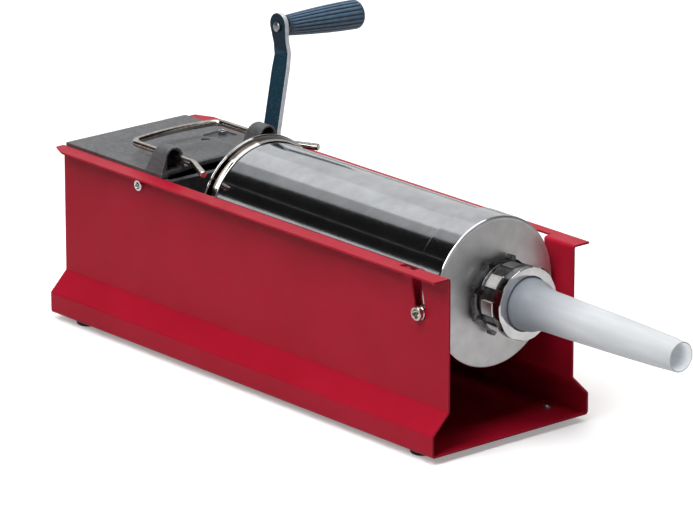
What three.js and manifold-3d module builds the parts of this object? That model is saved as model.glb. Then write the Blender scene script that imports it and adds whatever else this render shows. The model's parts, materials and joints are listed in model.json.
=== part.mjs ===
// Horizontal hand-cranked sausage stuffer: a bent-sheet housing, a stainless meat cylinder,
// a piston on a toothed rack, a geared drive, a crank with a bent arm, a wire bail that slides
// in two lugs, and a plastic funnel held on the cylinder's spout by a ring nut.
// Millimetres, +Z up, +X from the gearbox towards the funnel, +Y towards the crank.
// While building, X = 0 is the front edge of the housing and Z = 0 the underside of its floor.

import * as THREE from 'three';
import { mergeVertices } from 'three/addons/utils/BufferGeometryUtils.js';
import Module from 'manifold-3d';

const wasm = await Module();
wasm.setup();

// ---------------------------------------------------------------- driving dimensions

const GAP = 0.3; // clearance left between two pieces that touch
const PAST = 1; // how far a cutting tool runs past the face that it cuts
const FINE = 40; // sides of the large round pieces
const MEDIUM = 24; // sides of the middle-sized round pieces
const ROUND = 20; // sides of shafts and bushes
const SMALL = 12; // sides of pins and screws

const HOUSING_LENGTH = 585;
const SHEET = 2;
const WALL_Y = 80; // outer face of each side wall
const BASE_Y = 100; // outer face of the foot fold
const FLANGE_Y = 99; // edge of the outward top flange
const FOOT_FOLD_Z = 22;
const FLARE_Z = 42;
const FLANGE_Z = 174;
const INNER_Y = WALL_Y - SHEET;
const REAR_CORNER_ALONG = 21; // cut off each rear corner of the flange
const REAR_CORNER_ACROSS = 9;
const FLANGE_NOTCH_REAR = 22; // both measured back from the trunnion's centre
const FLANGE_NOTCH_FRONT = 1.4;
const FLANGE_NOTCH_EDGE = 11; // left between the notch and the flange's edge

const FOOT_HEIGHT = 7;
const FOOT_Y = 80;
const FOOT_X = [-36, -549];
const FOOT_SCREW_HOLE = 2.8;

const AXIS_Z = 138; // height of the cylinder's axis
const TUBE_INNER = 70;
const TUBE_OUTER = 72;
const TUBE_FRONT = -28;
const TUBE_REAR = -374;
const COLLAR_FRONT = -360;
const COLLAR_CREST = 77.6;
const CAP_FACE = -22;
const CAP_OUTER = 74.5;
const CAP_SKIRT_REAR = -60;
const TRUNNION_X = -40;
const TRUNNION_DROP = 7; // from the cylinder's axis down to the pins' axis
const TRUNNION_RADIUS = 7;
const TRUNNION_TIP_Y = 86.5;
const TRUNNION_BORE = 4.4;
const TRUNNION_BORE_DEPTH = 5;
const SLOT_RADIUS = TRUNNION_RADIUS + 0.4;
const SLOT_LEAN = 9; // how far the slots lean back by the flange

const SPOUT_RADIUS = 30;
const SPOUT_BORE = 26;
const SPOUT_FRONT = 14;
const NUT_REAR = -19;
const NUT_FRONT = 22;
const NUT_LIP = 2.8;
const NUT_HOLE = 26.6;
const NUT_LUGS = 8;
const FUNNEL_TIP = 229;
const FUNNEL_WALL = 1.8;

const CASE_REAR = -582.5;
const CASE_FRONT = -419.5;
const CASE_WALL = 7.5;
const CASE_FLOOR = 6;
const WEB_DROP = 5; // from the case's top edge down to the web's
const CASE_BOTTOM = 50;
const CASE_TOP = 171;
const CASE_Y = 77.6;
const COVER_TOP = 176.3;
const COVER_HOLE_AT = [-500.7, 36];
const COVER_HOLE = 4.2;
const COVER_SCREW_AT = [-511, 66];
const COVER_SCREW_HOLE = 2.9;
const POCKET_DEPTH = 2.2;
const NOSE_CURVE = 24; // how far back the curve of the cover's front edge is drawn

const SIDE_SCREW_AT = { left: [-446, 159], right: [-460, 160.5] };
const SIDE_SCREW_HOLE = 3.4;
const REAR_SCREW_AT = [60, 150];
const REAR_SCREW_HOLE = 2.9;
const BUSH_FIT = 11.3; // radius of the holes that the bushes fit
const WEB_Y = [20, 26]; // wall inside the case that carries the inner bush
const GUIDE = { y: 17, z0: 113, z1: 162 };
const GUIDE_LENGTH = 12;

const MODULE = 2.5;
const PRESSURE_ANGLE = THREE.MathUtils.degToRad(25);
const BACKLASH = 0.24; // taken off each tooth's thickness at the pitch line
const RACK_PINION_TEETH = 16;
const DRIVE_GEAR_TEETH = 36;
const INPUT_PINION_TEETH = 12;
const RACK_PITCH_Z = 127.5;
const RACK_TOP = 151;
const RACK_HALF_WIDTH = 8;
const RACK_REAR = -583;
const RACK_TEETH_END = -214;
const RACK_WINDOW = { y: RACK_HALF_WIDTH + 1.5, z0: 122.5, z1: RACK_TOP + 1.5 };
const SHAFT_RADIUS = 8;
const CROSS_PIN = 2;
const PIN_HOLE_HALF = 12; // half length of the cross holes through the shafts
const RACK_PINION_PIN_Y = -15;
const DRIVE_GEAR_PIN_Y = 51;
const INPUT_PINION_PIN_Y = 52;

const CRANK_X = -480;
const CRANK_Z = 148;
const CRANK_RADIUS = 129.5;
const CRANK_LEAN = THREE.MathUtils.degToRad(13.4);
const ARM_INNER_Y = 107;
const ARM_THICKNESS = 5;
const ARM_SPLAY = THREE.MathUtils.degToRad(21.5);
const ARM_TOP_SPLAY = THREE.MathUtils.degToRad(2.5);
const ARM_BEND_LOW = 24; // along the arm from the crank's axis
const ARM_BEND_HIGH = 101.6;
const ARM_HEAD_RADIUS = 12.2;
const ARM_HEAD_PAST = 2; // the head's centre beyond the spindle
const ARM_FOOT_RADIUS = 13;
const ARM_HALF_WIDTH = 12;
const ARM_NECK = { half: 9.8, below: 16 }; // narrowest place, measured down from the spindle
const SQUARE = 11; // across the flats of the shaft's square end
const SQUARE_FROM = 86;
const SQUARE_TO = ARM_INNER_Y + ARM_THICKNESS - GAP;
const SQUARE_HOLE = SQUARE + 2 * GAP;

// The grip's places are measured along its spindle from the inner face of the arm's head.
const GRIP_FROM = 9;
const GRIP_LENGTH = 99;
const GRIP_SMALL_RADIUS = 10.6;
const GRIP_SWELL = 4.7;
const GRIP_FLUTES = 12;
const GRIP_FLUTE_DEPTH = 1.1;
const GRIP_BORE = 4.5;
const GRIP_BORE_DEPTH = 84;
const SPINDLE_RADIUS = 4;
const SPINDLE_HEAD = 5.2;
const SPINDLE_LENGTH = 80;

const PISTON_FRONT = -97;
const PISTON_THICKNESS = 16;
const PISTON_RADIUS = 69;

const BAIL_RADIUS = 3.5;
const BAIL_Z = 190;
const BAIL_LEG_Y = 56;
const LUG_REAR = -459;
const LUG_FRONT = -432;
const LUG_TOP = 201.5;
const LUG_ARCH_Y = 60.5;
const LUG_ARCH_RADIUS = 11.5;
const LUG_INNER_Y = 46;
const LUG_TAPER = 9; // how far the lug's rear face leans forward by its top

// ---------------------------------------------------------------- worked-out places

const rackPinionRadius = (MODULE * RACK_PINION_TEETH) / 2;
const driveGearRadius = (MODULE * DRIVE_GEAR_TEETH) / 2;
const inputPinionRadius = (MODULE * INPUT_PINION_TEETH) / 2;
const gearZ = RACK_PITCH_Z - rackPinionRadius;
const gearRise = CRANK_Z - gearZ;
const gearX = CRANK_X - Math.sqrt((driveGearRadius + inputPinionRadius) ** 2 - gearRise ** 2);
const meshAngle = Math.atan2(gearRise, CRANK_X - gearX);
const toothPitch = Math.PI * MODULE;
const trunnionZ = AXIS_Z - TRUNNION_DROP;
const pistonRear = PISTON_FRONT - PISTON_THICKNESS;
const caseInnerY = CASE_Y - CASE_WALL;
const headInnerY =
  ARM_INNER_Y +
  (ARM_BEND_HIGH - ARM_BEND_LOW) * Math.tan(ARM_SPLAY) +
  (CRANK_RADIUS - ARM_BEND_HIGH) * Math.tan(ARM_TOP_SPLAY);

// ---------------------------------------------------------------- materials

function finish(color, roughness, metalness, extra = {}) {
  return new THREE.MeshStandardMaterial({ color, roughness, metalness, ...extra });
}

const redPaint = () => finish(0xa41d30, 0.35, 0.0);
const hammeredGrey = () => finish(0x5f6468, 0.45, 0.3);
const castGrey = () => finish(0x4b4e51, 0.6, 0.4);
const stainless = () => finish(0xc9cbcc, 0.28, 1.0);
const polished = () => finish(0xd8dadb, 0.1, 1.0);
const steel = () => finish(0x8f9294, 0.35, 1.0);
const darkSteel = () => finish(0x3c4048, 0.4, 0.8);
const armSteel = () => finish(0x4a5a6c, 0.4, 0.6);
const bronze = () => finish(0xb08a4a, 0.4, 0.9);
const rubber = () => finish(0x18181a, 0.85, 0.0);
const sealRubber = () => finish(0xd9d6cc, 0.7, 0.0);
const nylon = () => finish(0xeceae2, 0.5, 0.0);
const gripPlastic = () => finish(0x46535f, 0.45, 0.0);
const clearWhite = () => finish(0xe6ebee, 0.3, 0.0, { transparent: true, opacity: 0.75 });

// ---------------------------------------------------------------- solids

function signedVolume(position, index) {
  const a = new THREE.Vector3();
  const b = new THREE.Vector3();
  const c = new THREE.Vector3();
  let volume = 0;
  for (let i = 0; i < index.length; i += 3) {
    a.fromBufferAttribute(position, index[i]);
    b.fromBufferAttribute(position, index[i + 1]);
    c.fromBufferAttribute(position, index[i + 2]);
    volume += a.dot(b.cross(c)) / 6;
  }
  return volume;
}

// One shared vertex per point, no slivers, faces pointing out.
function closed(geometry) {
  const bare = new THREE.BufferGeometry();
  bare.setAttribute('position', geometry.getAttribute('position').clone());
  if (geometry.index) bare.setIndex(geometry.index.clone());
  const merged = mergeVertices(bare, 1e-4);
  const all = merged.index.array;
  const kept = [];
  for (let i = 0; i < all.length; i += 3) {
    const [a, b, c] = [all[i], all[i + 1], all[i + 2]];
    if (a !== b && b !== c && c !== a) kept.push(a, b, c);
  }
  if (signedVolume(merged.getAttribute('position'), kept) < 0) kept.reverse();
  merged.setIndex(kept);
  return merged;
}

function toSolid(geometry) {
  const body = closed(geometry);
  return new wasm.Manifold(
    new wasm.Mesh({
      numProp: 3,
      vertProperties: new Float32Array(body.getAttribute('position').array),
      triVerts: new Uint32Array(body.index.array),
    }),
  );
}

function toGeometry(solid) {
  const mesh = solid.getMesh();
  const geometry = new THREE.BufferGeometry();
  geometry.setAttribute('position', new THREE.BufferAttribute(new Float32Array(mesh.vertProperties), 3));
  geometry.setIndex(new THREE.BufferAttribute(new Uint32Array(mesh.triVerts), 1));
  return geometry;
}

function cut(base, ...tools) {
  const left = tools.reduce((solid, tool) => solid.subtract(toSolid(tool)), toSolid(base));
  return toGeometry(left);
}

function join(base, ...others) {
  const whole = others.reduce((solid, other) => solid.add(toSolid(other)), toSolid(base));
  return toGeometry(whole);
}

function common(first, second) {
  return toGeometry(toSolid(first).intersect(toSolid(second)));
}

function box(x0, x1, y0, y1, z0, z1) {
  const geometry = new THREE.BoxGeometry(x1 - x0, y1 - y0, z1 - z0);
  return geometry.translate((x0 + x1) / 2, (y0 + y1) / 2, (z0 + z1) / 2);
}

// A round bar between two places on an axis. at = the two other coordinates, in X, Y, Z order.
function rod(axis, radius, from, to, at, sides = ROUND) {
  const geometry = new THREE.CylinderGeometry(radius, radius, to - from, sides);
  const middle = (from + to) / 2;
  if (axis === 'x') return geometry.rotateZ(-Math.PI / 2).translate(middle, at[0], at[1]);
  if (axis === 'y') return geometry.translate(at[0], middle, at[1]);
  return geometry.rotateX(Math.PI / 2).translate(at[0], at[1], middle);
}

// A turned piece from [distance along the axis, radius] points. A profile that leaves the
// axis is closed on itself, so it makes a ring.
function turned(axis, profile, sides = ROUND) {
  const points = profile.map(([along, radius]) => new THREE.Vector2(radius, along));
  const onAxis = points[0].x === 0 && points.at(-1).x === 0;
  if (!onAxis) points.push(points[0].clone());
  const geometry = new THREE.LatheGeometry(points, sides);
  if (axis === 'x') return geometry.rotateZ(-Math.PI / 2);
  if (axis === 'z') return geometry.rotateX(Math.PI / 2);
  return geometry;
}

function polygon(points) {
  return new THREE.Shape(points.map(([x, y]) => new THREE.Vector2(x, y)));
}

function extruded(shape, depth, curveSegments = 8) {
  return new THREE.ExtrudeGeometry(shape, { depth, bevelEnabled: false, curveSegments });
}

// Shape coordinates become (X, Z), and the solid runs from y0 to y1.
function extrudedAlongY(shape, y0, y1, curveSegments) {
  return extruded(shape, y1 - y0, curveSegments).rotateX(Math.PI / 2).translate(0, y1, 0);
}

// Shape coordinates become (Y, Z), and the solid runs from x0 to x1.
function extrudedAlongX(shape, x0, x1, curveSegments) {
  const geometry = extruded(shape, x1 - x0, curveSegments);
  return geometry.rotateX(Math.PI / 2).rotateZ(Math.PI / 2).translate(x0, 0, 0);
}

// The line moved sideways by a distance, to its right, with mitred corners.
function offsetLine(points, distance) {
  const normals = points.slice(1).map(([x, y], i) => {
    const run = new THREE.Vector2(x - points[i][0], y - points[i][1]).normalize();
    return new THREE.Vector2(run.y, -run.x);
  });
  return points.map(([x, y], i) => {
    const before = normals[Math.max(i - 1, 0)];
    const after = normals[Math.min(i, normals.length - 1)];
    const mitre = before.clone().add(after).normalize();
    const reach = distance / mitre.dot(after);
    return [x + mitre.x * reach, y + mitre.y * reach];
  });
}

function strip(points, thickness) {
  return polygon([...points, ...offsetLine(points, thickness).reverse()]);
}

// ---------------------------------------------------------------- the scene graph

const stuffer = new THREE.Group();

function add(name, geometry, material, parent = stuffer) {
  const body = closed(geometry);
  body.computeVertexNormals();
  const mesh = new THREE.Mesh(body, material);
  mesh.name = name;
  parent.add(mesh);
  return mesh;
}

const SIDES = [
  { side: 'left', sign: 1 },
  { side: 'right', sign: -1 },
];

// The stretch of Y, low end first, that a tool needs to cut through a wall on one side.
function across(sign, inner, outer) {
  const ends = [sign * (inner - PAST), sign * (outer + PAST)];
  return sign > 0 ? ends : ends.reverse();
}

// ---------------------------------------------------------------- housing

// Right half of the bent sheet's outer face, from the flange edge down to the floor.
const foldLine = [
  [-FLANGE_Y, FLANGE_Z - SHEET],
  [-WALL_Y, FLANGE_Z - SHEET],
  [-WALL_Y, FLARE_Z],
  [-BASE_Y, FOOT_FOLD_Z],
  [-BASE_Y, 0],
];

function mirrored(line) {
  return line.map(([y, z]) => [-y, z]).reverse();
}

function makeHousing() {
  const section = strip([...foldLine, ...mirrored(foldLine)], -SHEET);
  const sheet = extrudedAlongX(section, -HOUSING_LENGTH, 0);
  const tools = [];
  for (const { side, sign } of SIDES) {
    const wall = across(sign, INNER_Y, WALL_Y);
    const notch = across(sign, INNER_Y, FLANGE_Y - FLANGE_NOTCH_EDGE - PAST);
    const [notchRear, notchFront] = [TRUNNION_X - FLANGE_NOTCH_REAR, TRUNNION_X - FLANGE_NOTCH_FRONT];
    tools.push(rod('y', SLOT_RADIUS, ...wall, [TRUNNION_X, trunnionZ]));
    const slot = polygon([
      [TRUNNION_X - SLOT_RADIUS, trunnionZ],
      [TRUNNION_X + SLOT_RADIUS, trunnionZ],
      [TRUNNION_X - SLOT_LEAN + SLOT_RADIUS, FLANGE_Z + PAST],
      [TRUNNION_X - SLOT_LEAN - SLOT_RADIUS, FLANGE_Z + PAST],
    ]);
    tools.push(extrudedAlongY(slot, ...wall));
    tools.push(box(notchRear, notchFront, ...notch, FLANGE_Z - SHEET - PAST, FLANGE_Z + PAST));
    tools.push(rod('y', SIDE_SCREW_HOLE, ...wall, SIDE_SCREW_AT[side], SMALL));
    for (const x of FOOT_X) {
      tools.push(rod('z', FOOT_SCREW_HOLE, -PAST, SHEET + PAST, [x, sign * FOOT_Y], SMALL));
    }
    const corner = polygon([
      [-HOUSING_LENGTH, sign * (FLANGE_Y - REAR_CORNER_ACROSS)],
      [-HOUSING_LENGTH + REAR_CORNER_ALONG, sign * FLANGE_Y],
      [-HOUSING_LENGTH + REAR_CORNER_ALONG, sign * (FLANGE_Y + PAST)],
      [-HOUSING_LENGTH - PAST, sign * (FLANGE_Y + PAST)],
      [-HOUSING_LENGTH - PAST, sign * (FLANGE_Y - REAR_CORNER_ACROSS)],
    ]);
    tools.push(extruded(corner, SHEET + 2 * PAST).translate(0, 0, FLANGE_Z - SHEET - PAST));
  }
  const crankWall = across(1, INNER_Y, WALL_Y);
  tools.push(rod('y', BUSH_FIT + 0.2, ...crankWall, [CRANK_X, CRANK_Z]));
  return cut(sheet, ...tools);
}

add('housing_channel', makeHousing(), redPaint());

function makeRearPanel() {
  const inside = offsetLine([...foldLine.slice(1), ...mirrored(foldLine).slice(0, -1)], -SHEET - GAP);
  inside[0][1] = CASE_TOP;
  inside[inside.length - 1][1] = CASE_TOP;
  const panel = extrudedAlongX(polygon(inside), -HOUSING_LENGTH, -HOUSING_LENGTH + SHEET);
  const { y, z0, z1 } = RACK_WINDOW;
  const through = [-HOUSING_LENGTH - PAST, -HOUSING_LENGTH + SHEET + PAST];
  const window = box(...through, -y, y, z0, z1);
  const [screwY, screwZ] = REAR_SCREW_AT;
  const holes = SIDES.map(({ sign }) =>
    rod('x', REAR_SCREW_HOLE, ...through, [sign * screwY, screwZ], SMALL),
  );
  return cut(panel, window, ...holes);
}

add('rear_panel', makeRearPanel(), redPaint());

const footProfile = [
  [-FOOT_HEIGHT, 0],
  [-FOOT_HEIGHT, 11],
  [-FOOT_HEIGHT + 1, 12],
  [-GAP, 13],
  [-GAP, 2.8],
  [-5.5, 2.8],
  [-5.5, 0],
];

const footScrewProfile = [
  [-5.2, 0],
  [-5.2, 2.4],
  [SHEET + GAP, 2.4],
  [SHEET + GAP, 5],
  [4, 4.8],
  [5, 3.4],
  [5.3, 0],
];

for (const { side, sign } of SIDES) {
  FOOT_X.forEach((x, i) => {
    const place = `${i === 0 ? 'front' : 'rear'}_${side}`;
    add(`foot_${place}`, turned('z', footProfile), rubber()).position.set(x, sign * FOOT_Y, 0);
    const screw = add(`foot_screw_${place}`, turned('z', footScrewProfile, SMALL), steel());
    screw.position.set(x, sign * FOOT_Y, 0);
  });
}

// ---------------------------------------------------------------- gearbox casting

function makeCase() {
  const shell = box(CASE_REAR, CASE_FRONT, -CASE_Y, CASE_Y, CASE_BOTTOM, CASE_TOP);
  const inner = [CASE_REAR + CASE_WALL, CASE_FRONT - CASE_WALL];
  const floor = CASE_BOTTOM + CASE_FLOOR;
  const cavity = box(...inner, -caseInnerY, caseInnerY, floor, CASE_TOP + PAST);
  const web = box(inner[0] - PAST, inner[1] + PAST, ...WEB_Y, floor - PAST, CASE_TOP - WEB_DROP);
  const { y, z0, z1 } = RACK_WINDOW;
  const rearWall = [CASE_REAR - PAST, CASE_REAR + CASE_WALL + PAST];
  const guideWindow = [-GUIDE.y - GAP, GUIDE.y + GAP, GUIDE.z0 - GAP, GUIDE.z1 + GAP];
  const tools = [
    box(...rearWall, -y, y, z0, z1),
    box(inner[1] - PAST, CASE_FRONT + PAST, ...guideWindow),
    rod('y', BUSH_FIT, WEB_Y[0] - PAST, CASE_Y + PAST, [CRANK_X, CRANK_Z]),
    rod('y', BUSH_FIT, -CASE_Y - PAST, -caseInnerY + PAST, [gearX, gearZ]),
    rod('y', BUSH_FIT, WEB_Y[0] - PAST, CASE_Y + PAST, [gearX, gearZ]),
  ];
  for (const { side, sign } of SIDES) {
    tools.push(rod('y', SIDE_SCREW_HOLE, ...across(sign, caseInnerY, CASE_Y), SIDE_SCREW_AT[side], SMALL));
    const at = [sign * REAR_SCREW_AT[0], REAR_SCREW_AT[1]];
    tools.push(rod('x', REAR_SCREW_HOLE, ...rearWall, at, SMALL));
  }
  return cut(join(cut(shell, cavity), web), ...tools);
}

add('gearbox_case', makeCase(), castGrey());

// Lug that carries one leg of the bail: a tapering pedestal with an arched top.
function makeLug(sign) {
  const shoulder = LUG_TOP - LUG_ARCH_RADIUS;
  const foot = COVER_TOP - 2;
  const front = new THREE.Shape();
  front.moveTo(sign * CASE_Y, foot);
  front.lineTo(sign * (LUG_ARCH_Y + LUG_ARCH_RADIUS), shoulder);
  const [start, end] = sign > 0 ? [0, Math.PI] : [Math.PI, 0];
  front.absarc(sign * LUG_ARCH_Y, shoulder, LUG_ARCH_RADIUS, start, end, sign < 0);
  front.lineTo(sign * LUG_INNER_Y, foot);
  const side = polygon([
    [LUG_REAR, foot - PAST],
    [LUG_FRONT, foot - PAST],
    [LUG_FRONT, LUG_TOP + PAST],
    [LUG_REAR + LUG_TAPER, LUG_TOP + PAST],
  ]);
  const block = common(
    extrudedAlongX(front, LUG_REAR, LUG_FRONT, 8),
    extrudedAlongY(side, -CASE_Y - PAST, CASE_Y + PAST),
  );
  const legAt = [sign * BAIL_LEG_Y, BAIL_Z];
  return cut(block, rod('x', BAIL_RADIUS + 0.4, LUG_REAR - PAST, LUG_FRONT + PAST, legAt, SMALL));
}

function makeCover() {
  const under = CASE_TOP + GAP;
  const front = LUG_FRONT + 0.5;
  const straight = CASE_Y - 8;
  const outline = new THREE.Shape();
  outline.moveTo(-HOUSING_LENGTH, -CASE_Y);
  outline.lineTo(front, -CASE_Y);
  outline.lineTo(front, -straight);
  outline.quadraticCurveTo(front - NOSE_CURVE, 0, front, straight);
  outline.lineTo(front, CASE_Y);
  outline.lineTo(-HOUSING_LENGTH, CASE_Y);
  const plate = extruded(outline, COVER_TOP - under, 12).translate(0, 0, under);
  const [screwX, screwY] = COVER_SCREW_AT;
  const pocket = new THREE.Shape();
  pocket.moveTo(screwX - 6, screwY + 5);
  pocket.lineTo(screwX + 19, screwY + 5);
  pocket.lineTo(screwX + 17, screwY - 18);
  pocket.lineTo(screwX - 4, screwY - 24);
  return cut(
    join(plate, ...SIDES.map(({ sign }) => makeLug(sign))),
    extruded(pocket, POCKET_DEPTH + PAST).translate(0, 0, COVER_TOP - POCKET_DEPTH),
    rod('z', COVER_SCREW_HOLE, under - PAST, COVER_TOP + PAST, COVER_SCREW_AT, SMALL),
    rod('z', COVER_HOLE, under - PAST, COVER_TOP + PAST, COVER_HOLE_AT, SMALL),
  );
}

add('gearbox_cover', makeCover(), hammeredGrey());

// Head and shank of a cap screw along +Y, with its head's inner face at y = 0.
function capScrew(headRadius, headHeight, shankRadius, shankLength) {
  const blank = turned('y', [
    [-shankLength, 0],
    [-shankLength, shankRadius],
    [0, shankRadius],
    [0, headRadius],
    [headHeight - 0.8, headRadius],
    [headHeight, headRadius - 0.8],
    [headHeight, 0],
  ], SMALL);
  const socket = new THREE.CylinderGeometry(headRadius * 0.52, headRadius * 0.52, headHeight * 1.2, 6);
  return cut(blank, socket.translate(0, headHeight, 0));
}

const coverScrew = add('cover_screw', capScrew(4.4, 3.4, 2.6, 4), steel());
coverScrew.position.set(...COVER_SCREW_AT, COVER_TOP - POCKET_DEPTH + GAP);
coverScrew.rotation.x = Math.PI / 2;

for (const { side, sign } of SIDES) {
  const screw = add(`side_screw_${side}`, capScrew(5.75, 5, 3, 8), polished());
  screw.position.set(SIDE_SCREW_AT[side][0], sign * (WALL_Y + GAP), SIDE_SCREW_AT[side][1]);
  screw.rotation.x = sign > 0 ? 0 : Math.PI;
  const rear = add(`rear_screw_${side}`, capScrew(4.6, 2.6, 2.5, 9), steel());
  rear.position.set(-HOUSING_LENGTH - GAP, sign * REAR_SCREW_AT[0], REAR_SCREW_AT[1]);
  rear.rotation.z = Math.PI / 2;
}

const guideBlock = box(CASE_FRONT - GUIDE_LENGTH, CASE_FRONT, -GUIDE.y, GUIDE.y, GUIDE.z0, GUIDE.z1);
const guideSlot = box(
  CASE_FRONT - GUIDE_LENGTH - PAST,
  CASE_FRONT + PAST,
  -RACK_HALF_WIDTH - GAP,
  RACK_HALF_WIDTH + GAP,
  RACK_PITCH_Z - MODULE - GAP,
  RACK_TOP + GAP,
);
add('rack_guide', cut(guideBlock, guideSlot), bronze());
add('rack_shoe', box(gearX - 14, gearX + 14, -11, 11, RACK_TOP + GAP, CASE_TOP), bronze());

// A plain or flanged bush along +Y from y = 0.
function bush(length, flange = 0) {
  const bore = SHAFT_RADIUS + GAP;
  const outer = BUSH_FIT - GAP;
  const profile = [
    [0, bore],
    [0, outer],
    [length, outer],
    [length, bore],
  ];
  if (flange) profile.splice(2, 1, [length - 3, outer], [length - 3, flange], [length, flange]);
  return turned('y', profile);
}

add('crank_bush_inner', bush(6), bronze()).position.set(CRANK_X, WEB_Y[0], CRANK_Z);
add('crank_bush_outer', bush(13.4, 15), bronze()).position.set(CRANK_X, caseInnerY, CRANK_Z);
add('shaft_bush_left', bush(CASE_WALL - 0.2), bronze()).position.set(gearX, caseInnerY, gearZ);
add('shaft_bush_right', bush(CASE_WALL - 0.2), bronze()).position.set(gearX, -CASE_Y + 0.2, gearZ);

// ---------------------------------------------------------------- meat cylinder

const cylinder = new THREE.Group();
cylinder.position.z = AXIS_Z;
stuffer.add(cylinder);

const tubeProfile = [
  [TUBE_REAR, TUBE_INNER],
  [TUBE_REAR, TUBE_OUTER],
  [TUBE_FRONT, TUBE_OUTER],
  [TUBE_FRONT, TUBE_INNER],
];
add('cylinder_tube', turned('x', tubeProfile, FINE), stainless(), cylinder);

// Rounded bead at the rear, then a slope that fades into the tube.
function collarProfile() {
  const bore = TUBE_OUTER + GAP;
  const bead = 1.6;
  const points = [[TUBE_REAR, bore]];
  for (let i = 0; i <= 4; i += 1) {
    const angle = Math.PI - (i * Math.PI) / 4;
    points.push([TUBE_REAR + bead + bead * Math.cos(angle), COLLAR_CREST - bead + bead * Math.sin(angle)]);
  }
  points.push([TUBE_REAR + 7, 75.4], [COLLAR_FRONT, 73], [COLLAR_FRONT, bore]);
  return points;
}
add('cylinder_collar', turned('x', collarProfile(), FINE), polished(), cylinder);

function capProfile() {
  const corner = 3;
  const points = [
    [CAP_FACE - 3, SPOUT_RADIUS + GAP],
    [CAP_FACE, SPOUT_RADIUS + GAP],
  ];
  for (let i = 0; i <= 2; i += 1) {
    const angle = (i * Math.PI) / 4;
    const along = CAP_FACE - corner + corner * Math.cos(angle);
    points.push([along, CAP_OUTER - corner + corner * Math.sin(angle)]);
  }
  points.push([CAP_SKIRT_REAR, CAP_OUTER]);
  points.push([CAP_SKIRT_REAR, TUBE_OUTER + GAP]);
  points.push([CAP_FACE - 3, TUBE_OUTER + GAP]);
  return points;
}
add('front_cap', turned('x', capProfile(), FINE), polished(), cylinder);

const capSealProfile = [
  [TUBE_FRONT + GAP, TUBE_INNER],
  [TUBE_FRONT + GAP, TUBE_OUTER],
  [CAP_FACE - 3 - GAP, TUBE_OUTER],
  [CAP_FACE - 3 - GAP, TUBE_INNER],
];
add('cap_seal', turned('x', capSealProfile, FINE), sealRubber(), cylinder);

const spoutProfile = [
  [CAP_FACE - 5.5, SPOUT_BORE],
  [CAP_FACE - 5.5, SPOUT_RADIUS + 4],
  [CAP_FACE - 3 - GAP, SPOUT_RADIUS + 4],
  [CAP_FACE - 3 - GAP, SPOUT_RADIUS],
  [SPOUT_FRONT - 1, SPOUT_RADIUS],
  [SPOUT_FRONT, SPOUT_RADIUS - 1],
  [SPOUT_FRONT, SPOUT_BORE],
];
add('spout', turned('x', spoutProfile, MEDIUM), stainless(), cylinder);

// Hollow-ended pins that rest in the slots of the housing walls.
const trunnionProfile = [
  [CAP_OUTER + GAP, 0],
  [CAP_OUTER + GAP, TRUNNION_RADIUS],
  [TRUNNION_TIP_Y - 1, TRUNNION_RADIUS],
  [TRUNNION_TIP_Y, TRUNNION_RADIUS - 1],
  [TRUNNION_TIP_Y, TRUNNION_BORE],
  [TRUNNION_TIP_Y - TRUNNION_BORE_DEPTH, TRUNNION_BORE],
  [TRUNNION_TIP_Y - TRUNNION_BORE_DEPTH, 0],
];
for (const { side, sign } of SIDES) {
  const pin = add(`trunnion_pin_${side}`, turned('y', trunnionProfile), darkSteel(), cylinder);
  pin.position.set(TRUNNION_X, 0, -TRUNNION_DROP);
  pin.rotation.x = sign > 0 ? 0 : Math.PI;
}

// ---------------------------------------------------------------- ring nut and funnel

function makeRingNut() {
  const bore = SPOUT_RADIUS + 0.5;
  const blank = turned('x', [
    [NUT_REAR, bore],
    [NUT_REAR, 35.4],
    [NUT_REAR + 0.8, 36.2],
    [NUT_REAR + 6.2, 36.2],
    [NUT_REAR + 7, 35.4],
    [NUT_REAR + 8, 32.8],
    [NUT_REAR + 13, 32.8],
    [NUT_REAR + 13, 35],
    [NUT_FRONT - 12, 35],
    [NUT_FRONT - 12, 33.6],
    [NUT_FRONT - 10, 33.6],
    [NUT_FRONT - 9, 36.5],
    [NUT_FRONT - 1.2, 36.5],
    [NUT_FRONT, 35.3],
    [NUT_FRONT, NUT_HOLE],
    [NUT_FRONT - NUT_LIP, NUT_HOLE],
    [NUT_FRONT - NUT_LIP, bore],
  ], MEDIUM);
  const lugs = [];
  const notches = [];
  for (let i = 0; i < NUT_LUGS; i += 1) {
    const turn = THREE.MathUtils.degToRad(26) + (i * 2 * Math.PI) / NUT_LUGS;
    lugs.push(box(NUT_REAR + 0.6, NUT_REAR + 6.4, -3.6, 3.6, 34, 39.4).rotateX(turn));
    notches.push(box(NUT_REAR + 12, NUT_FRONT - 11.5, -6, 6, 32.9, 40).rotateX(turn));
    notches.push(box(NUT_FRONT - 10.2, NUT_FRONT + 1, -8, 8, 35.4, 40).rotateX(turn));
  }
  return cut(join(blank, ...lugs), ...notches);
}
add('ring_nut', makeRingNut(), polished(), cylinder);

const gasketProfile = [
  [SPOUT_FRONT + GAP, SPOUT_BORE],
  [SPOUT_FRONT + GAP, SPOUT_RADIUS - 0.5],
  [SPOUT_FRONT + 1.9, SPOUT_RADIUS - 0.5],
  [SPOUT_FRONT + 1.9, SPOUT_BORE],
];
add('funnel_gasket', turned('x', gasketProfile, MEDIUM), sealRubber(), cylinder);

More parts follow.
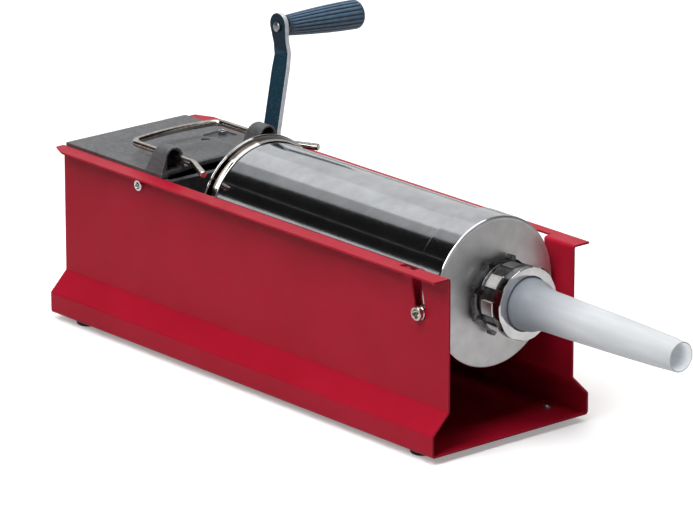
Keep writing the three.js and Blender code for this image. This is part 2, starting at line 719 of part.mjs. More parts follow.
// Outside of the funnel's tube: a quick cone behind the nut, then a long gentle taper.
const funnelOutside = [
  [NUT_FRONT - NUT_LIP - GAP, 25.6],
  [NUT_FRONT + 6, 25.2],
  [38, 23.8],
  [60, 21.2],
  [95, 19.6],
  [160, 17.2],
  [FUNNEL_TIP - 0.6, 14.7],
  [FUNNEL_TIP, 14.2],
];
const flangeFront = NUT_FRONT - NUT_LIP - GAP;
const flangeRear = SPOUT_FRONT + 1.9 + GAP;
const funnelProfile = [
  [flangeRear, SPOUT_RADIUS - 0.6],
  [flangeFront, SPOUT_RADIUS - 0.6],
  ...funnelOutside,
  ...funnelOutside.map(([x, r]) => [x, r - FUNNEL_WALL]).reverse(),
  [flangeRear, 25.6 - FUNNEL_WALL],
];
add('funnel', turned('x', funnelProfile, ROUND), clearWhite(), cylinder);

// ---------------------------------------------------------------- gears and rack

function involute(angle) {
  return Math.tan(angle) - angle;
}

// Spur gear outline with one tooth centred on the given direction.
function gearOutline(teeth, toothAt) {
  const pitch = (MODULE * teeth) / 2;
  const base = pitch * Math.cos(PRESSURE_ANGLE);
  const root = pitch - 1.25 * MODULE;
  const tip = pitch + 0.96 * MODULE;
  const pitchHalf = Math.PI / (2 * teeth) - BACKLASH / (2 * pitch);
  const halfAt = (radius) => {
    const angle = radius > base ? Math.acos(base / radius) : 0;
    return pitchHalf + involute(PRESSURE_ANGLE) - involute(angle);
  };
  const low = Math.max(base, root);
  const radii = [root, low + (tip - low) * 0.4, tip];
  const flank = radii.map((radius) => [radius, halfAt(radius)]);
  const points = [];
  for (let i = 0; i < teeth; i += 1) {
    const centre = toothAt + (i * 2 * Math.PI) / teeth;
    for (const [radius, half] of flank) points.push([radius, centre - half]);
    for (const [radius, half] of [...flank].reverse()) points.push([radius, centre + half]);
  }
  return points.map(([radius, angle]) => [radius * Math.cos(angle), radius * Math.sin(angle)]);
}

function circleHole(radius, sides = ROUND) {
  const hole = new THREE.Path();
  for (let i = 0; i < sides; i += 1) {
    const angle = (i * 2 * Math.PI) / sides;
    const point = [radius * Math.cos(angle), radius * Math.sin(angle)];
    if (i === 0) hole.moveTo(...point);
    else hole.lineTo(...point);
  }
  return hole;
}

// Gear with a plain hub on one side and a cross hole through the hub for its pin.
function makeGear(teeth, toothAt, [from, to], hubRadius, [hubFrom, hubTo]) {
  const outline = polygon(gearOutline(teeth, toothAt));
  outline.holes.push(circleHole(SHAFT_RADIUS + GAP));
  const rim = extrudedAlongY(outline, from, to);
  const hub = turned('y', [
    [hubFrom, SHAFT_RADIUS + GAP],
    [hubFrom, hubRadius],
    [hubTo, hubRadius],
    [hubTo, SHAFT_RADIUS + GAP],
  ]);
  const pinAt = hubFrom + hubTo > from + to ? (to + hubTo) / 2 : (from + hubFrom) / 2;
  return cut(join(rim, hub), crossHole(hubRadius + PAST, pinAt));
}

function crossHole(half, y) {
  return rod('z', CROSS_PIN + GAP, -half, half, [0, y], SMALL);
}

const gearShaft = new THREE.Group();
gearShaft.position.set(gearX, 0, gearZ);
const crankShaft = new THREE.Group();
crankShaft.position.set(CRANK_X, 0, CRANK_Z);
stuffer.add(gearShaft, crankShaft);

const halfTooth = Math.PI / INPUT_PINION_TEETH;

function crossPin(hubRadius, y) {
  return rod('z', CROSS_PIN, -hubRadius + 0.5, hubRadius - 0.5, [0, y], SMALL);
}

const pinionShaft = cut(
  rod('y', SHAFT_RADIUS, -CASE_Y + 1, CASE_Y - 1, [0, 0]),
  crossHole(PIN_HOLE_HALF, RACK_PINION_PIN_Y),
  crossHole(PIN_HOLE_HALF, DRIVE_GEAR_PIN_Y),
);
add('pinion_shaft', pinionShaft, steel(), gearShaft);
add('rack_pinion', makeGear(RACK_PINION_TEETH, Math.PI / 2, [-10, 10], 13, [-20, 9]), steel(), gearShaft);
add('rack_pinion_pin', crossPin(13, RACK_PINION_PIN_Y), darkSteel(), gearShaft);
add('drive_gear', makeGear(DRIVE_GEAR_TEETH, meshAngle, [32, 46], 14, [33, 56]), steel(), gearShaft);
add('drive_gear_pin', crossPin(14, DRIVE_GEAR_PIN_Y), darkSteel(), gearShaft);

const pinionPhase = meshAngle + Math.PI + halfTooth;
const inputPinion = makeGear(INPUT_PINION_TEETH, pinionPhase, [31, 47], 11.2, [32, 57]);
add('input_pinion', inputPinion, steel(), crankShaft);
add('input_pinion_pin', crossPin(11.2, INPUT_PINION_PIN_Y), darkSteel(), crankShaft);

// Shaft with a ring groove inside the web, a square end for the crank and a tapped end.
function makeCrankShaft() {
  const groove = SHAFT_RADIUS - 1.2;
  const blank = turned('y', [
    [14.5, 0],
    [14.5, SHAFT_RADIUS - 0.8],
    [15.3, SHAFT_RADIUS],
    [17.4, SHAFT_RADIUS],
    [17.4, groove],
    [19.4, groove],
    [19.4, SHAFT_RADIUS],
    [SQUARE_FROM, SHAFT_RADIUS],
    [SQUARE_FROM, SQUARE / 2],
    [SQUARE_FROM + 1, SQUARE / 2],
    [SQUARE_FROM + 1, 0],
  ]);
  const square = box(-SQUARE / 2, SQUARE / 2, SQUARE_FROM - 0.5, SQUARE_TO, -SQUARE / 2, SQUARE / 2);
  return cut(
    join(blank, square),
    rod('y', 3.3, SQUARE_TO - 14, SQUARE_TO + 1, [0, 0], SMALL),
    crossHole(PIN_HOLE_HALF, INPUT_PINION_PIN_Y),
  );
}

add('crank_shaft', makeCrankShaft(), steel(), crankShaft);

const circlipProfile = [
  [17.7, SHAFT_RADIUS - 0.8],
  [17.7, 11],
  [19.1, 11],
  [19.1, SHAFT_RADIUS - 0.8],
];
add('crank_circlip', turned('y', circlipProfile), darkSteel(), crankShaft);

// Rack: a plain bar with teeth cut into its underside from its rear end forwards. The cut runs
// out of the rear end, so the pinion still meshes when the piston is fully forward.
function rackOutline() {
  const front = pistonRear - GAP;
  const tips = RACK_PITCH_Z - 0.96 * MODULE;
  const roots = RACK_PITCH_Z + 1.25 * MODULE;
  const slope = Math.tan(PRESSURE_ANGLE);
  const halfGap = (z) => toothPitch / 4 + BACKLASH / 2 - (z - RACK_PITCH_Z) * slope;
  const points = [
    [RACK_REAR, RACK_TOP],
    [RACK_REAR, roots],
  ];
  const first = Math.ceil((RACK_REAR - gearX) / toothPitch);
  const last = Math.floor((RACK_TEETH_END - gearX) / toothPitch);
  for (let i = first; i <= last; i += 1) {
    const x = gearX + i * toothPitch;
    if (i > first) points.push([x - halfGap(tips), tips], [x - halfGap(roots), roots]);
    points.push([x + halfGap(roots), roots], [x + halfGap(tips), tips]);
  }
  points.push([front, tips], [front, RACK_TOP]);
  return points;
}

const rackBar = extrudedAlongY(polygon(rackOutline()), -RACK_HALF_WIDTH, RACK_HALF_WIDTH);
const boltHole = rod('x', 5.3, pistonRear - 26, pistonRear + PAST, [0, AXIS_Z], SMALL);
add('rack_bar', cut(rackBar, boltHole), steel());

// ---------------------------------------------------------------- piston

const grooveFrom = PISTON_FRONT - 11;
const grooveTo = PISTON_FRONT - 5;
const pistonProfile = [
  [pistonRear, 5.3],
  [pistonRear, PISTON_RADIUS - 1],
  [pistonRear + 1, PISTON_RADIUS],
  [grooveFrom, PISTON_RADIUS],
  [grooveFrom, PISTON_RADIUS - 4],
  [grooveTo, PISTON_RADIUS - 4],
  [grooveTo, PISTON_RADIUS],
  [PISTON_FRONT - 1, PISTON_RADIUS],
  [PISTON_FRONT, PISTON_RADIUS - 1],
  [PISTON_FRONT, 5.3],
];
add('piston_body', turned('x', pistonProfile, MEDIUM), nylon(), cylinder);

const pistonSealProfile = [
  [grooveFrom + GAP, PISTON_RADIUS - 3.7],
  [grooveFrom + GAP, TUBE_INNER - 0.6],
  [(grooveFrom + grooveTo) / 2, TUBE_INNER - 0.4],
  [grooveTo - GAP, TUBE_INNER - 0.6],
  [grooveTo - GAP, PISTON_RADIUS - 3.7],
];
add('piston_seal', turned('x', pistonSealProfile, MEDIUM), rubber(), cylinder);

const pistonPlateProfile = [
  [PISTON_FRONT + GAP, 5.3],
  [PISTON_FRONT + GAP, 60],
  [PISTON_FRONT + 2.3, 60],
  [PISTON_FRONT + 2.3, 5.3],
];
add('piston_plate', turned('x', pistonPlateProfile, MEDIUM), stainless(), cylinder);

const pistonBoltProfile = [
  [pistonRear - 24, 0],
  [pistonRear - 24, 5],
  [PISTON_FRONT + 2.6, 5],
  [PISTON_FRONT + 2.6, 10],
  [PISTON_FRONT + 5, 9.4],
  [PISTON_FRONT + 7, 7],
  [PISTON_FRONT + 7.8, 0],
];
add('piston_bolt', turned('x', pistonBoltProfile, SMALL), stainless(), cylinder);

// ---------------------------------------------------------------- crank

// The crank leans back by CRANK_LEAN; inside this group its arm runs straight up.
const crank = new THREE.Group();
crank.position.set(CRANK_X, 0, CRANK_Z);
crank.rotation.y = -CRANK_LEAN;
stuffer.add(crank);

function squareHole(from, to) {
  const half = SQUARE_HOLE / 2;
  return box(-half, half, from, to, -half, half).rotateY(CRANK_LEAN);
}

const hubProfile = [
  [84.2, 0],
  [84.2, 12.5],
  [86, 14.2],
  [ARM_INNER_Y - 2, 14.2],
  [ARM_INNER_Y - GAP, 13],
  [ARM_INNER_Y - GAP, 0],
];
const hubBore = rod('y', SHAFT_RADIUS + GAP, 83, SQUARE_FROM + GAP, [0, 0]);
add('crank_hub', cut(turned('y', hubProfile), hubBore, squareHole(86, ARM_INNER_Y)), darkSteel(), crank);

function makeArm() {
  const outer = CRANK_RADIUS + 18;
  const inside = [
    [ARM_INNER_Y, -20],
    [ARM_INNER_Y, ARM_BEND_LOW],
    [ARM_INNER_Y + (ARM_BEND_HIGH - ARM_BEND_LOW) * Math.tan(ARM_SPLAY), ARM_BEND_HIGH],
    [headInnerY + 18 * Math.tan(ARM_TOP_SPLAY), outer],
  ];
  const side = extrudedAlongX(strip(inside, ARM_THICKNESS), -20, 20);
  const face = new THREE.Shape();
  const footFrom = THREE.MathUtils.degToRad(150);
  face.absarc(0, 0, ARM_FOOT_RADIUS, footFrom, 3 * Math.PI - footFrom, false);
  face.lineTo(ARM_HALF_WIDTH, 18);
  face.lineTo(ARM_HALF_WIDTH, 88);
  face.lineTo(ARM_NECK.half, CRANK_RADIUS - ARM_NECK.below);
  const headFrom = THREE.MathUtils.degToRad(-15);
  face.absarc(0, CRANK_RADIUS + ARM_HEAD_PAST, ARM_HEAD_RADIUS, headFrom, Math.PI - headFrom, false);
  face.lineTo(-ARM_NECK.half, CRANK_RADIUS - ARM_NECK.below);
  face.lineTo(-ARM_HALF_WIDTH, 88);
  face.lineTo(-ARM_HALF_WIDTH, 18);
  const outline = extrudedAlongY(face, ARM_INNER_Y - 10, headInnerY + 20, 20);
  const spindleHole = rod('y', 4.3, -4, ARM_THICKNESS + 4, [0, 0], SMALL);
  spindleHole.rotateX(-ARM_TOP_SPLAY).translate(0, headInnerY, CRANK_RADIUS);
  return cut(common(side, outline), squareHole(ARM_INNER_Y - 2, ARM_INNER_Y + 7), spindleHole);
}
add('crank_arm', makeArm(), armSteel(), crank);

const crankScrew = add('crank_screw', capScrew(9, 5, 3, 12), darkSteel(), crank);
crankScrew.position.y = ARM_INNER_Y + ARM_THICKNESS + GAP;

// Grip frame: origin on the inner face of the arm's head, +Y out along the spindle.
const handle = new THREE.Group();
handle.position.set(0, headInnerY, CRANK_RADIUS);
handle.rotation.x = -ARM_TOP_SPLAY;
crank.add(handle);

function makeSpindle() {
  const blank = turned('y', [
    [-3.2, 0],
    [-3.2, 3.6],
    [-2.2, SPINDLE_HEAD],
    [-GAP, SPINDLE_HEAD],
    [-GAP, SPINDLE_RADIUS],
    [GRIP_FROM + SPINDLE_LENGTH, SPINDLE_RADIUS],
    [GRIP_FROM + SPINDLE_LENGTH, 0],
  ], SMALL);
  return cut(blank, box(-0.7, 0.7, -4, -2, -6, 6));
}
add('grip_spindle', makeSpindle(), steel(), handle);

const washerProfile = [
  [ARM_THICKNESS + GAP, 4.3],
  [ARM_THICKNESS + GAP, 10.4],
  [GRIP_FROM - GAP, 10.4],
  [GRIP_FROM - GAP, 4.3],
];
add('grip_washer', turned('y', washerProfile), darkSteel(), handle);

// Tapered grip with flutes that fade out at both ends.
function makeGrip() {
  const rows = 4;
  const end = GRIP_FROM + GRIP_LENGTH;
  const radiusAt = (t) => GRIP_SMALL_RADIUS + GRIP_SWELL * Math.sin((t * Math.PI) / 2);
  const profile = [
    [GRIP_FROM + GRIP_BORE_DEPTH, 0],
    [GRIP_FROM + GRIP_BORE_DEPTH, GRIP_BORE],
    [GRIP_FROM, GRIP_BORE],
    [GRIP_FROM, GRIP_SMALL_RADIUS - 0.8],
  ];
  for (let i = 0; i <= rows; i += 1) {
    const t = i / rows;
    profile.push([GRIP_FROM + 1 + t * (GRIP_LENGTH - 7), radiusAt(t)]);
  }
  profile.push([end - 3, 14], [end - 0.8, 10], [end, 0]);
  const geometry = turned('y', profile, GRIP_FLUTES * 4);
  const position = geometry.getAttribute('position');
  const from = GRIP_FROM + 5;
  const to = end - 7;
  for (let i = 0; i < position.count; i += 1) {
    const [x, y, z] = [position.getX(i), position.getY(i), position.getZ(i)];
    const radius = Math.hypot(x, z);
    if (radius > GRIP_BORE + 1 && y > from && y < to) {
      const wave = 0.5 + 0.5 * Math.cos(GRIP_FLUTES * Math.atan2(z, x));
      const depth = GRIP_FLUTE_DEPTH * wave;
      const scale = (radius - depth) / radius;
      position.setXYZ(i, x * scale, y, z * scale);
    }
  }
  return geometry;
}
add('grip', makeGrip(), gripPlastic(), handle);

// ---------------------------------------------------------------- bail

// One bent round wire: a bowed crossbar, two legs through the lugs and two splayed ends.
function makeBail() {
  const at = (x, y) => new THREE.Vector3(x, y, BAIL_Z);
  const barX = -507;
  const corner = 13;
  const bow = 4;
  const bend = -407;
  const tip = [-369, 74];
  const path = new THREE.CurvePath();
  path.add(new THREE.LineCurve3(at(tip[0], tip[1]), at(bend + 3, BAIL_LEG_Y + 1.5)));
  path.add(
    new THREE.QuadraticBezierCurve3(
      at(bend + 3, BAIL_LEG_Y + 1.5),
      at(bend, BAIL_LEG_Y),
      at(bend - 4, BAIL_LEG_Y),
    ),
  );
  path.add(new THREE.LineCurve3(at(bend - 4, BAIL_LEG_Y), at(barX + corner, BAIL_LEG_Y)));
  path.add(
    new THREE.QuadraticBezierCurve3(
      at(barX + corner, BAIL_LEG_Y),
      at(barX, BAIL_LEG_Y),
      at(barX - 1.5, BAIL_LEG_Y - corner),
    ),
  );
  path.add(
    new THREE.QuadraticBezierCurve3(
      at(barX - 1.5, BAIL_LEG_Y - corner),
      at(barX - 1.5 - bow, 0),
      at(barX - 1.5, -BAIL_LEG_Y + corner),
    ),
  );
  path.add(
    new THREE.QuadraticBezierCurve3(
      at(barX - 1.5, -BAIL_LEG_Y + corner),
      at(barX, -BAIL_LEG_Y),
      at(barX + corner, -BAIL_LEG_Y),
    ),
  );
  path.add(new THREE.LineCurve3(at(barX + corner, -BAIL_LEG_Y), at(bend - 4, -BAIL_LEG_Y)));
  path.add(
    new THREE.QuadraticBezierCurve3(
      at(bend - 4, -BAIL_LEG_Y),
      at(bend, -BAIL_LEG_Y),
      at(bend + 3, -BAIL_LEG_Y - 1.5),
    ),
  );
  path.add(new THREE.LineCurve3(at(bend + 3, -BAIL_LEG_Y - 1.5), at(tip[0], -tip[1])));
  const section = new THREE.Shape(circleHole(BAIL_RADIUS, 8).getPoints());
  return new THREE.ExtrudeGeometry(section, { steps: 44, extrudePath: path });
}
add('bail', makeBail(), polished());

// ---------------------------------------------------------------- origin

// The origin goes to the middle of the object's footprint, on the surface it stands on.
stuffer.updateMatrixWorld(true);
const extent = new THREE.Box3().setFromObject(stuffer, true);
const middle = extent.getCenter(new THREE.Vector3());
stuffer.position.set(-middle.x, -middle.y, -extent.min.z);
stuffer.updateMatrixWorld(true);

export default stuffer;
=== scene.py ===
import json
from functools import cache
from math import atan2, cos, hypot, pi, radians, sin, tan

import bmesh
import bpy
from mathutils import Matrix, Vector

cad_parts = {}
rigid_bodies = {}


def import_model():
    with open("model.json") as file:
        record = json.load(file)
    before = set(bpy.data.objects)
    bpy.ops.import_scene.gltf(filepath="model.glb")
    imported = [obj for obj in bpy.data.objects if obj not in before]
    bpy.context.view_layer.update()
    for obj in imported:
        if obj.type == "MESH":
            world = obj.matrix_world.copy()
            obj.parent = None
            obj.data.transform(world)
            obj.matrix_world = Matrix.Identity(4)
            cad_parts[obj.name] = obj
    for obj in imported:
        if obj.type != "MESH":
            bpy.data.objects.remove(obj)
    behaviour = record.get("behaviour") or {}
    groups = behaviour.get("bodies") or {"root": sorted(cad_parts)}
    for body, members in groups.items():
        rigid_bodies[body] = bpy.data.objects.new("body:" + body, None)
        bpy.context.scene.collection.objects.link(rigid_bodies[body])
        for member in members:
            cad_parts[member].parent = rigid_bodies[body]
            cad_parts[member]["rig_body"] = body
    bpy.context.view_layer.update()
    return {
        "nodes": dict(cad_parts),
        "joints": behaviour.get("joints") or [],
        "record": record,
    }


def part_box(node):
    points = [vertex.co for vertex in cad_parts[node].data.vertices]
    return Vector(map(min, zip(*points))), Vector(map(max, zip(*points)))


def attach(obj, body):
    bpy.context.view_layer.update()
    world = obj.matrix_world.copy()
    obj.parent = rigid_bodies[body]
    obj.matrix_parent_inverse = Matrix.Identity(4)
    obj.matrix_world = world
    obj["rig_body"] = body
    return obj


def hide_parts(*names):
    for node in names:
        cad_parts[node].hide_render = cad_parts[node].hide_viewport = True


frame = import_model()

MM = 0.001
TAU = 2 * pi
UP = Vector((0, 0, 1))
TOP_VIEW = Matrix.Identity(4)  # for outlines drawn as (x, y)
SIDES = {"left": 1, "right": -1}

# -------- places taken from the frame

HOUSING_LOW, HOUSING_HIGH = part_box("housing_channel")
# The script works in millimetres from the housing's front edge, mid-plane and lower edge.
ORIGIN = Vector((HOUSING_HIGH.x, (HOUSING_LOW.y + HOUSING_HIGH.y) / 2, HOUSING_LOW.z))
TO_ROW = Matrix.Translation(ORIGIN) @ Matrix.Scale(MM, 4)
SLOTS = {part["node"]: part["material_slot"] for part in frame["record"]["subparts"]}


class Box:
    """The box round a CAD node at rest, in the script's millimetres."""

    def __init__(self, node):
        low, high = ((corner - ORIGIN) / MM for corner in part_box(node))
        middle = (low + high) / 2
        self.x0, self.y0, self.z0 = low
        self.x1, self.y1, self.z1 = high
        self.x, self.y, self.z = middle
        self.long, self.wide, self.high = high - low


def joint_line(name):
    """A joint's place, in the script's millimetres, and its direction."""
    joint = next(j for j in frame["joints"] if j["name"] == name)
    return (Vector(joint["pos_m"]) - ORIGIN) / MM, Vector(joint["axis"])


def row_x(x):
    """A place along the machine, carried from the script's millimetres to the row's metres."""
    return (TO_ROW @ Vector((x, 0, 0))).x


housing = Box("housing_channel")
tube = Box("cylinder_tube")
AXIS_Z = tube.z
SHEET = Box("rear_panel").long

# -------- outlines


def arc(centre, radius, start, end, steps):
    """Points of a circle's arc, from one angle to another in degrees."""
    angles = [radians(start + (end - start) * i / steps) for i in range(steps + 1)]
    return [(centre[0] + radius * cos(a), centre[1] + radius * sin(a)) for a in angles]


def filleted(points, radius, closed=False, steps=5):
    """The line with its corners rounded. radius is one number, or one for each point."""
    rounded = []
    for i, point in enumerate(points):
        here = Vector(point)
        reach = radius[i] if isinstance(radius, (list, tuple)) else radius
        if reach <= 0 or not (closed or 0 < i < len(points) - 1):
            rounded.append(here)
            continue
        back = Vector(points[i - 1]) - here
        onward = Vector(points[(i + 1) % len(points)]) - here
        turn = back.angle(onward)
        if turn > radians(177):
            rounded.append(here)
            continue
        reach = min(reach / tan(turn / 2), back.length * 0.48, onward.length * 0.48)
        start = here + back.normalized() * reach
        end = here + onward.normalized() * reach
        for k in range(steps + 1):
            t = k / steps
            rounded.append(start * (1 - t) ** 2 + here * 2 * t * (1 - t) + end * t * t)
    return rounded


def flowing(points, steps):
    """A smooth curve through every point."""
    ends = [Vector(points[0]), *map(Vector, points), Vector(points[-1])]
    curve = []
    for a, b, c, d in zip(ends, ends[1:], ends[2:], ends[3:]):
        square = a * 2 - b * 5 + c * 4 - d
        cube = b * 3 - a - c * 3 + d
        for k in range(steps):
            t = k / steps
            curve.append((b * 2 + (c - a) * t + square * t * t + cube * t ** 3) / 2)
    curve.append(ends[-1])
    return curve


def offset(points, distance):
    """The 2-D line moved sideways to its left, with mitred corners."""
    moved = []
    for i, point in enumerate(points):
        before = Vector(point) - Vector(points[i - 1]) if i else None
        after = Vector(points[i + 1]) - Vector(point) if i < len(points) - 1 else before
        before = before or after
        first = Vector((-before.y, before.x)).normalized()
        second = Vector((-after.y, after.x)).normalized()
        mitre = (first + second).normalized()
        moved.append(Vector(point) + mitre * (distance / mitre.dot(second)))
    return moved


def rod(low, high, radius):
    """The rings of a plain round bar."""
    return [(low, 0), (low, radius), (high, radius), (high, 0)]


def hoop(low, high, inner, outer, ease, steps=3):
    """The rings of a band with eased corners."""
    corners = [(low, inner), (low, outer), (high, outer), (high, inner)]
    return filleted(corners, ease, closed=True, steps=steps)


# -------- solids


def facing(origin, direction, reference=None):
    """A frame with Z along direction, and X towards reference, or else up or along X."""
    z = Vector(direction).normalized()
    reference = Vector(reference or ((1, 0, 0) if abs(z.z) > 0.9 else UP))
    x = (reference - z * z.dot(reference)).normalized()
    placed = Matrix((x, z.cross(x), z)).transposed().to_4x4()
    placed.translation = Vector(origin)
    return placed


END_VIEW = facing((0, 0, 0), (1, 0, 0), (0, 1, 0))  # for outlines drawn as (y, z)
SIDE_VIEW = facing((0, 0, 0), (0, 1, 0), (1, 0, 0))  # for outlines drawn as (x, -z)
ALONG = facing((0, 0, AXIS_Z), (1, 0, 0))  # the meat cylinder's axis


def turned(rings, place, segments, bm=None):
    """A body turned round the frame's Z axis from (along, radius) rings.

    A radius may be a function of the angle. Rings that start off the axis close on themselves.
    """
    bm = bm or bmesh.new()
    loops = []
    for along, radius in rings:
        if not callable(radius) and radius == 0:
            loops.append([bm.verts.new(place @ Vector((0, 0, along)))])
            continue
        loop = []
        for i in range(segments):
            angle = TAU * i / segments
            reach = radius(angle) if callable(radius) else radius
            spot = Vector((reach * cos(angle), reach * sin(angle), along))
            loop.append(bm.verts.new(place @ spot))
        loops.append(loop)
    pairs = list(zip(loops, loops[1:]))
    if len(loops[0]) > 1:
        pairs.append((loops[-1], loops[0]))
    for a, b in pairs:
        for i in range(segments):
            j = (i + 1) % segments
            corners = [a[i % len(a)], b[i % len(b)], b[j % len(b)], a[j % len(a)]]
            bm.faces.new(dict.fromkeys(corners))
    return bm


def bridged(ends, bm):
    """Closes the body between two matching rings of vertices."""
    count = len(ends[0])
    for i in range(count):
        j = (i + 1) % count
        bm.faces.new((ends[0][i], ends[0][j], ends[1][j], ends[1][i]))
    bm.faces.new(ends[0][::-1])
    bm.faces.new(ends[1])
    return bm


def prism(outline, place, low, high, bm=None):
    """A body whose 2-D outline lies in the frame's XY plane, from low to high along its Z axis."""
    bm = bm or bmesh.new()
    ends = [
        [bm.verts.new(place @ Vector((x, y, level))) for x, y in outline] for level in (low, high)
    ]
    return bridged(ends, bm)


def block(x0, x1, y0, y1, z0, z1, bm=None):
    return prism([(x0, y0), (x1, y0), (x1, y1), (x0, y1)], TOP_VIEW, z0, z1, bm)


WIRE_SIDES = 24
WIRE_EASE = 0.6


def swept(path, radius):
    """A round wire along a path in a level plane, with its two ends eased."""
    bm = bmesh.new()
    rings = []
    last = len(path) - 1
    for i, point in enumerate(path):
        tangent = (path[min(i + 1, last)] - path[max(i - 1, 0)]).normalized()
        side = tangent.cross(UP).normalized()
        lift = side.cross(tangent)
        shrink = WIRE_EASE if i in (0, last) else 0
        ring = []
        for k in range(WIRE_SIDES):
            angle = TAU * k / WIRE_SIDES
            outward = side * cos(angle) + lift * sin(angle)
            ring.append(bm.verts.new(point + outward * (radius - shrink)))
        rings.append(ring)
    for a, b in zip(rings, rings[1:]):
        for k in range(WIRE_SIDES):
            j = (k + 1) % WIRE_SIDES
            bm.faces.new((a[k], b[k], b[j], a[j]))
    bm.faces.new(rings[0])
    bm.faces.new(rings[-1][::-1])
    return bm


def add_object(name, data):
    thing = bpy.data.objects.new(name, data)
    bpy.context.scene.collection.objects.link(thing)
    return thing


def mesh_from(name, bm):
    """A mesh with the body's faces, which turn outwards. The body itself is used up."""
    bmesh.ops.recalc_face_normals(bm, faces=bm.faces)
    mesh = bpy.data.meshes.new(name)
    bm.to_mesh(mesh)
    bm.free()
    return mesh


def modify(thing, kind, **settings):
    modifier = thing.modifiers.new(kind.lower(), kind)
    for setting, value in settings.items():
        setattr(modifier, setting, value)


def ease_edges(thing, width):
    """Rounds the edges that are sharper than 40 degrees."""
    modify(thing, "BEVEL", width=width, segments=2, limit_method="ANGLE", angle_limit=radians(40))


def reworked(bm, cutter, bevel=0.0, voxel=0.0):
    """The body after a cut, and then a remesh that melts its parts together, or eased edges."""
    thing = add_object("work", mesh_from("work", bm))
    tool = add_object("work", mesh_from("work", cutter))
    modify(thing, "BOOLEAN", object=tool, operation="DIFFERENCE", solver="EXACT", use_self=True)
    if voxel:
        modify(thing, "REMESH", mode="VOXEL", voxel_size=voxel)
        modify(thing, "SMOOTH", factor=0.5, iterations=1)
    if bevel:
        ease_edges(thing, bevel)
    made = thing.evaluated_get(bpy.context.evaluated_depsgraph_get())
    result = bmesh.new()
    result.from_mesh(made.data)
    for used in (thing, tool):
        bpy.data.objects.remove(used)
    return result


def piece(name, bm, node, sharp=38, looks=None):
    """Makes the body a shown piece that moves with, and stands for, a CAD node."""
    mesh = mesh_from(name, bm)
    mesh.transform(TO_ROW)
    mesh.shade_smooth()
    mesh.set_sharp_from_angle(angle=radians(sharp))
    thing = add_object(name, mesh)
    modify(thing, "WEIGHTED_NORMAL", keep_sharp=True)
    for look in looks or [SLOTS[node]]:
        mesh.materials.append(material(look))
    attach(thing, frame["nodes"][node]["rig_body"])
    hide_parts(node)
    return thing


# -------- materials


class Look:
    """A material whose Principled shader is fed by textures placed in the object's own space."""

    def __init__(self, name, **sockets):
        self.material = bpy.data.materials.new(name)
        self.material.use_nodes = True
        self.tree = self.material.node_tree
        self.shader = self.tree.nodes["Principled BSDF"]
        self.place = self.node("ShaderNodeTexCoord").outputs["Object"]
        for socket, value in sockets.items():
            self.shader.inputs[socket.replace("_", " ")].default_value = value

    def node(self, kind, links=(), **settings):
        """A node with its settings made, and its inputs set to numbers or linked."""
        made = self.tree.nodes.new(kind)
        for setting, value in settings.items():
            setattr(made, setting, value)
        for socket, value in dict(links).items():
            if isinstance(value, bpy.types.NodeSocket):
                self.tree.links.new(value, made.inputs[socket])
            else:
                made.inputs[socket].default_value = value
        return made

    def noise(self, size, detail=2.0, stretch=(1, 1, 1)):
        """Noise whose patches are about size millimetres across."""
        scaled = self.node("ShaderNodeMapping", {"Vector": self.place, "Scale": stretch})
        links = {"Vector": scaled.outputs[0], "Scale": 1 / (size * MM), "Detail": detail}
        return self.node("ShaderNodeTexNoise", links).outputs[0]

    def cells(self, size):
        """Round-edged cells about size millimetres across."""
        links = {"Vector": self.place, "Scale": 1 / (size * MM)}
        return self.node("ShaderNodeTexVoronoi", links, feature="SMOOTH_F1").outputs[0]

    def spot(self, axis):
        """Where a point is along X, Y or Z, in the row's metres."""
        return self.node("ShaderNodeSeparateXYZ", {"Vector": self.place}).outputs[axis]

    def span(self, factor, low=0, high=1, start=0.3, end=0.7):
        """The factor carried from start..end to low..high."""
        links = {0: factor, 1: start, 2: end, 3: low, 4: high}
        return self.node("ShaderNodeMapRange", links).outputs[0]

    def patches(self, size, detail=2.0):
        """Noise spread from 0 to 1."""
        return self.span(self.noise(size, detail))

    def math(self, operation, first, second=0.0):
        """One step of arithmetic on two values, each a socket or a number."""
        return self.node("ShaderNodeMath", {0: first, 1: second}, operation=operation).outputs[0]

    def mix(self, factor, first, second):
        """A blend of two colours, each a socket or three numbers."""
        links = {"Factor": factor}
        for socket, value in ((6, first), (7, second)):
            links[socket] = value if isinstance(value, bpy.types.NodeSocket) else (*value, 1)
        return self.node("ShaderNodeMix", links, data_type="RGBA").outputs[2]

    def drive(self, socket, output):
        self.tree.links.new(output, self.shader.inputs[socket])

    def colour(self, factor, first, second):
        self.drive("Base Color", self.mix(factor, first, second))

    def roughness(self, factor, *span):
        self.drive("Roughness", self.span(factor, *span))

    def relief(self, *layers):
        """Bumps on bumps, each (height, depth in millimetres, strength)."""
        normal = None
        for height, depth, strength in layers:
            links = {"Height": height, "Distance": depth * MM, "Strength": strength}
            if normal:
                links["Normal"] = normal
            normal = self.node("ShaderNodeBump", links).outputs[0]
        self.drive("Normal", normal)


def mottled(name, patch, colours, grain, rough, *bumps, **sockets):
    """Two drifting colours. patch, grain and each bump's first value are noise arguments."""
    look = Look(name, **sockets)
    look.colour(look.patches(*patch), *colours)
    look.roughness(look.noise(*grain), *rough)
    look.relief(*[(look.noise(*noise), depth, strength) for noise, depth, strength in bumps])
    return look


def steel(name, dark, light, rough, grain=(1, 1, 1), cloud=26, dent=0.04, metallic=1.0):
    """Bare metal with cloudy polishing, fine marks drawn out along the grain and soft dents."""
    look = Look(name, Metallic=metallic)
    clouds = look.noise(cloud, 3)
    marks = look.noise(0.7, 4, grain)
    look.colour(look.span(clouds), dark, light)
    look.roughness(marks, *rough)
    look.relief((clouds, dent * 10, dent), (marks, 0.006, 0.25))
    return look


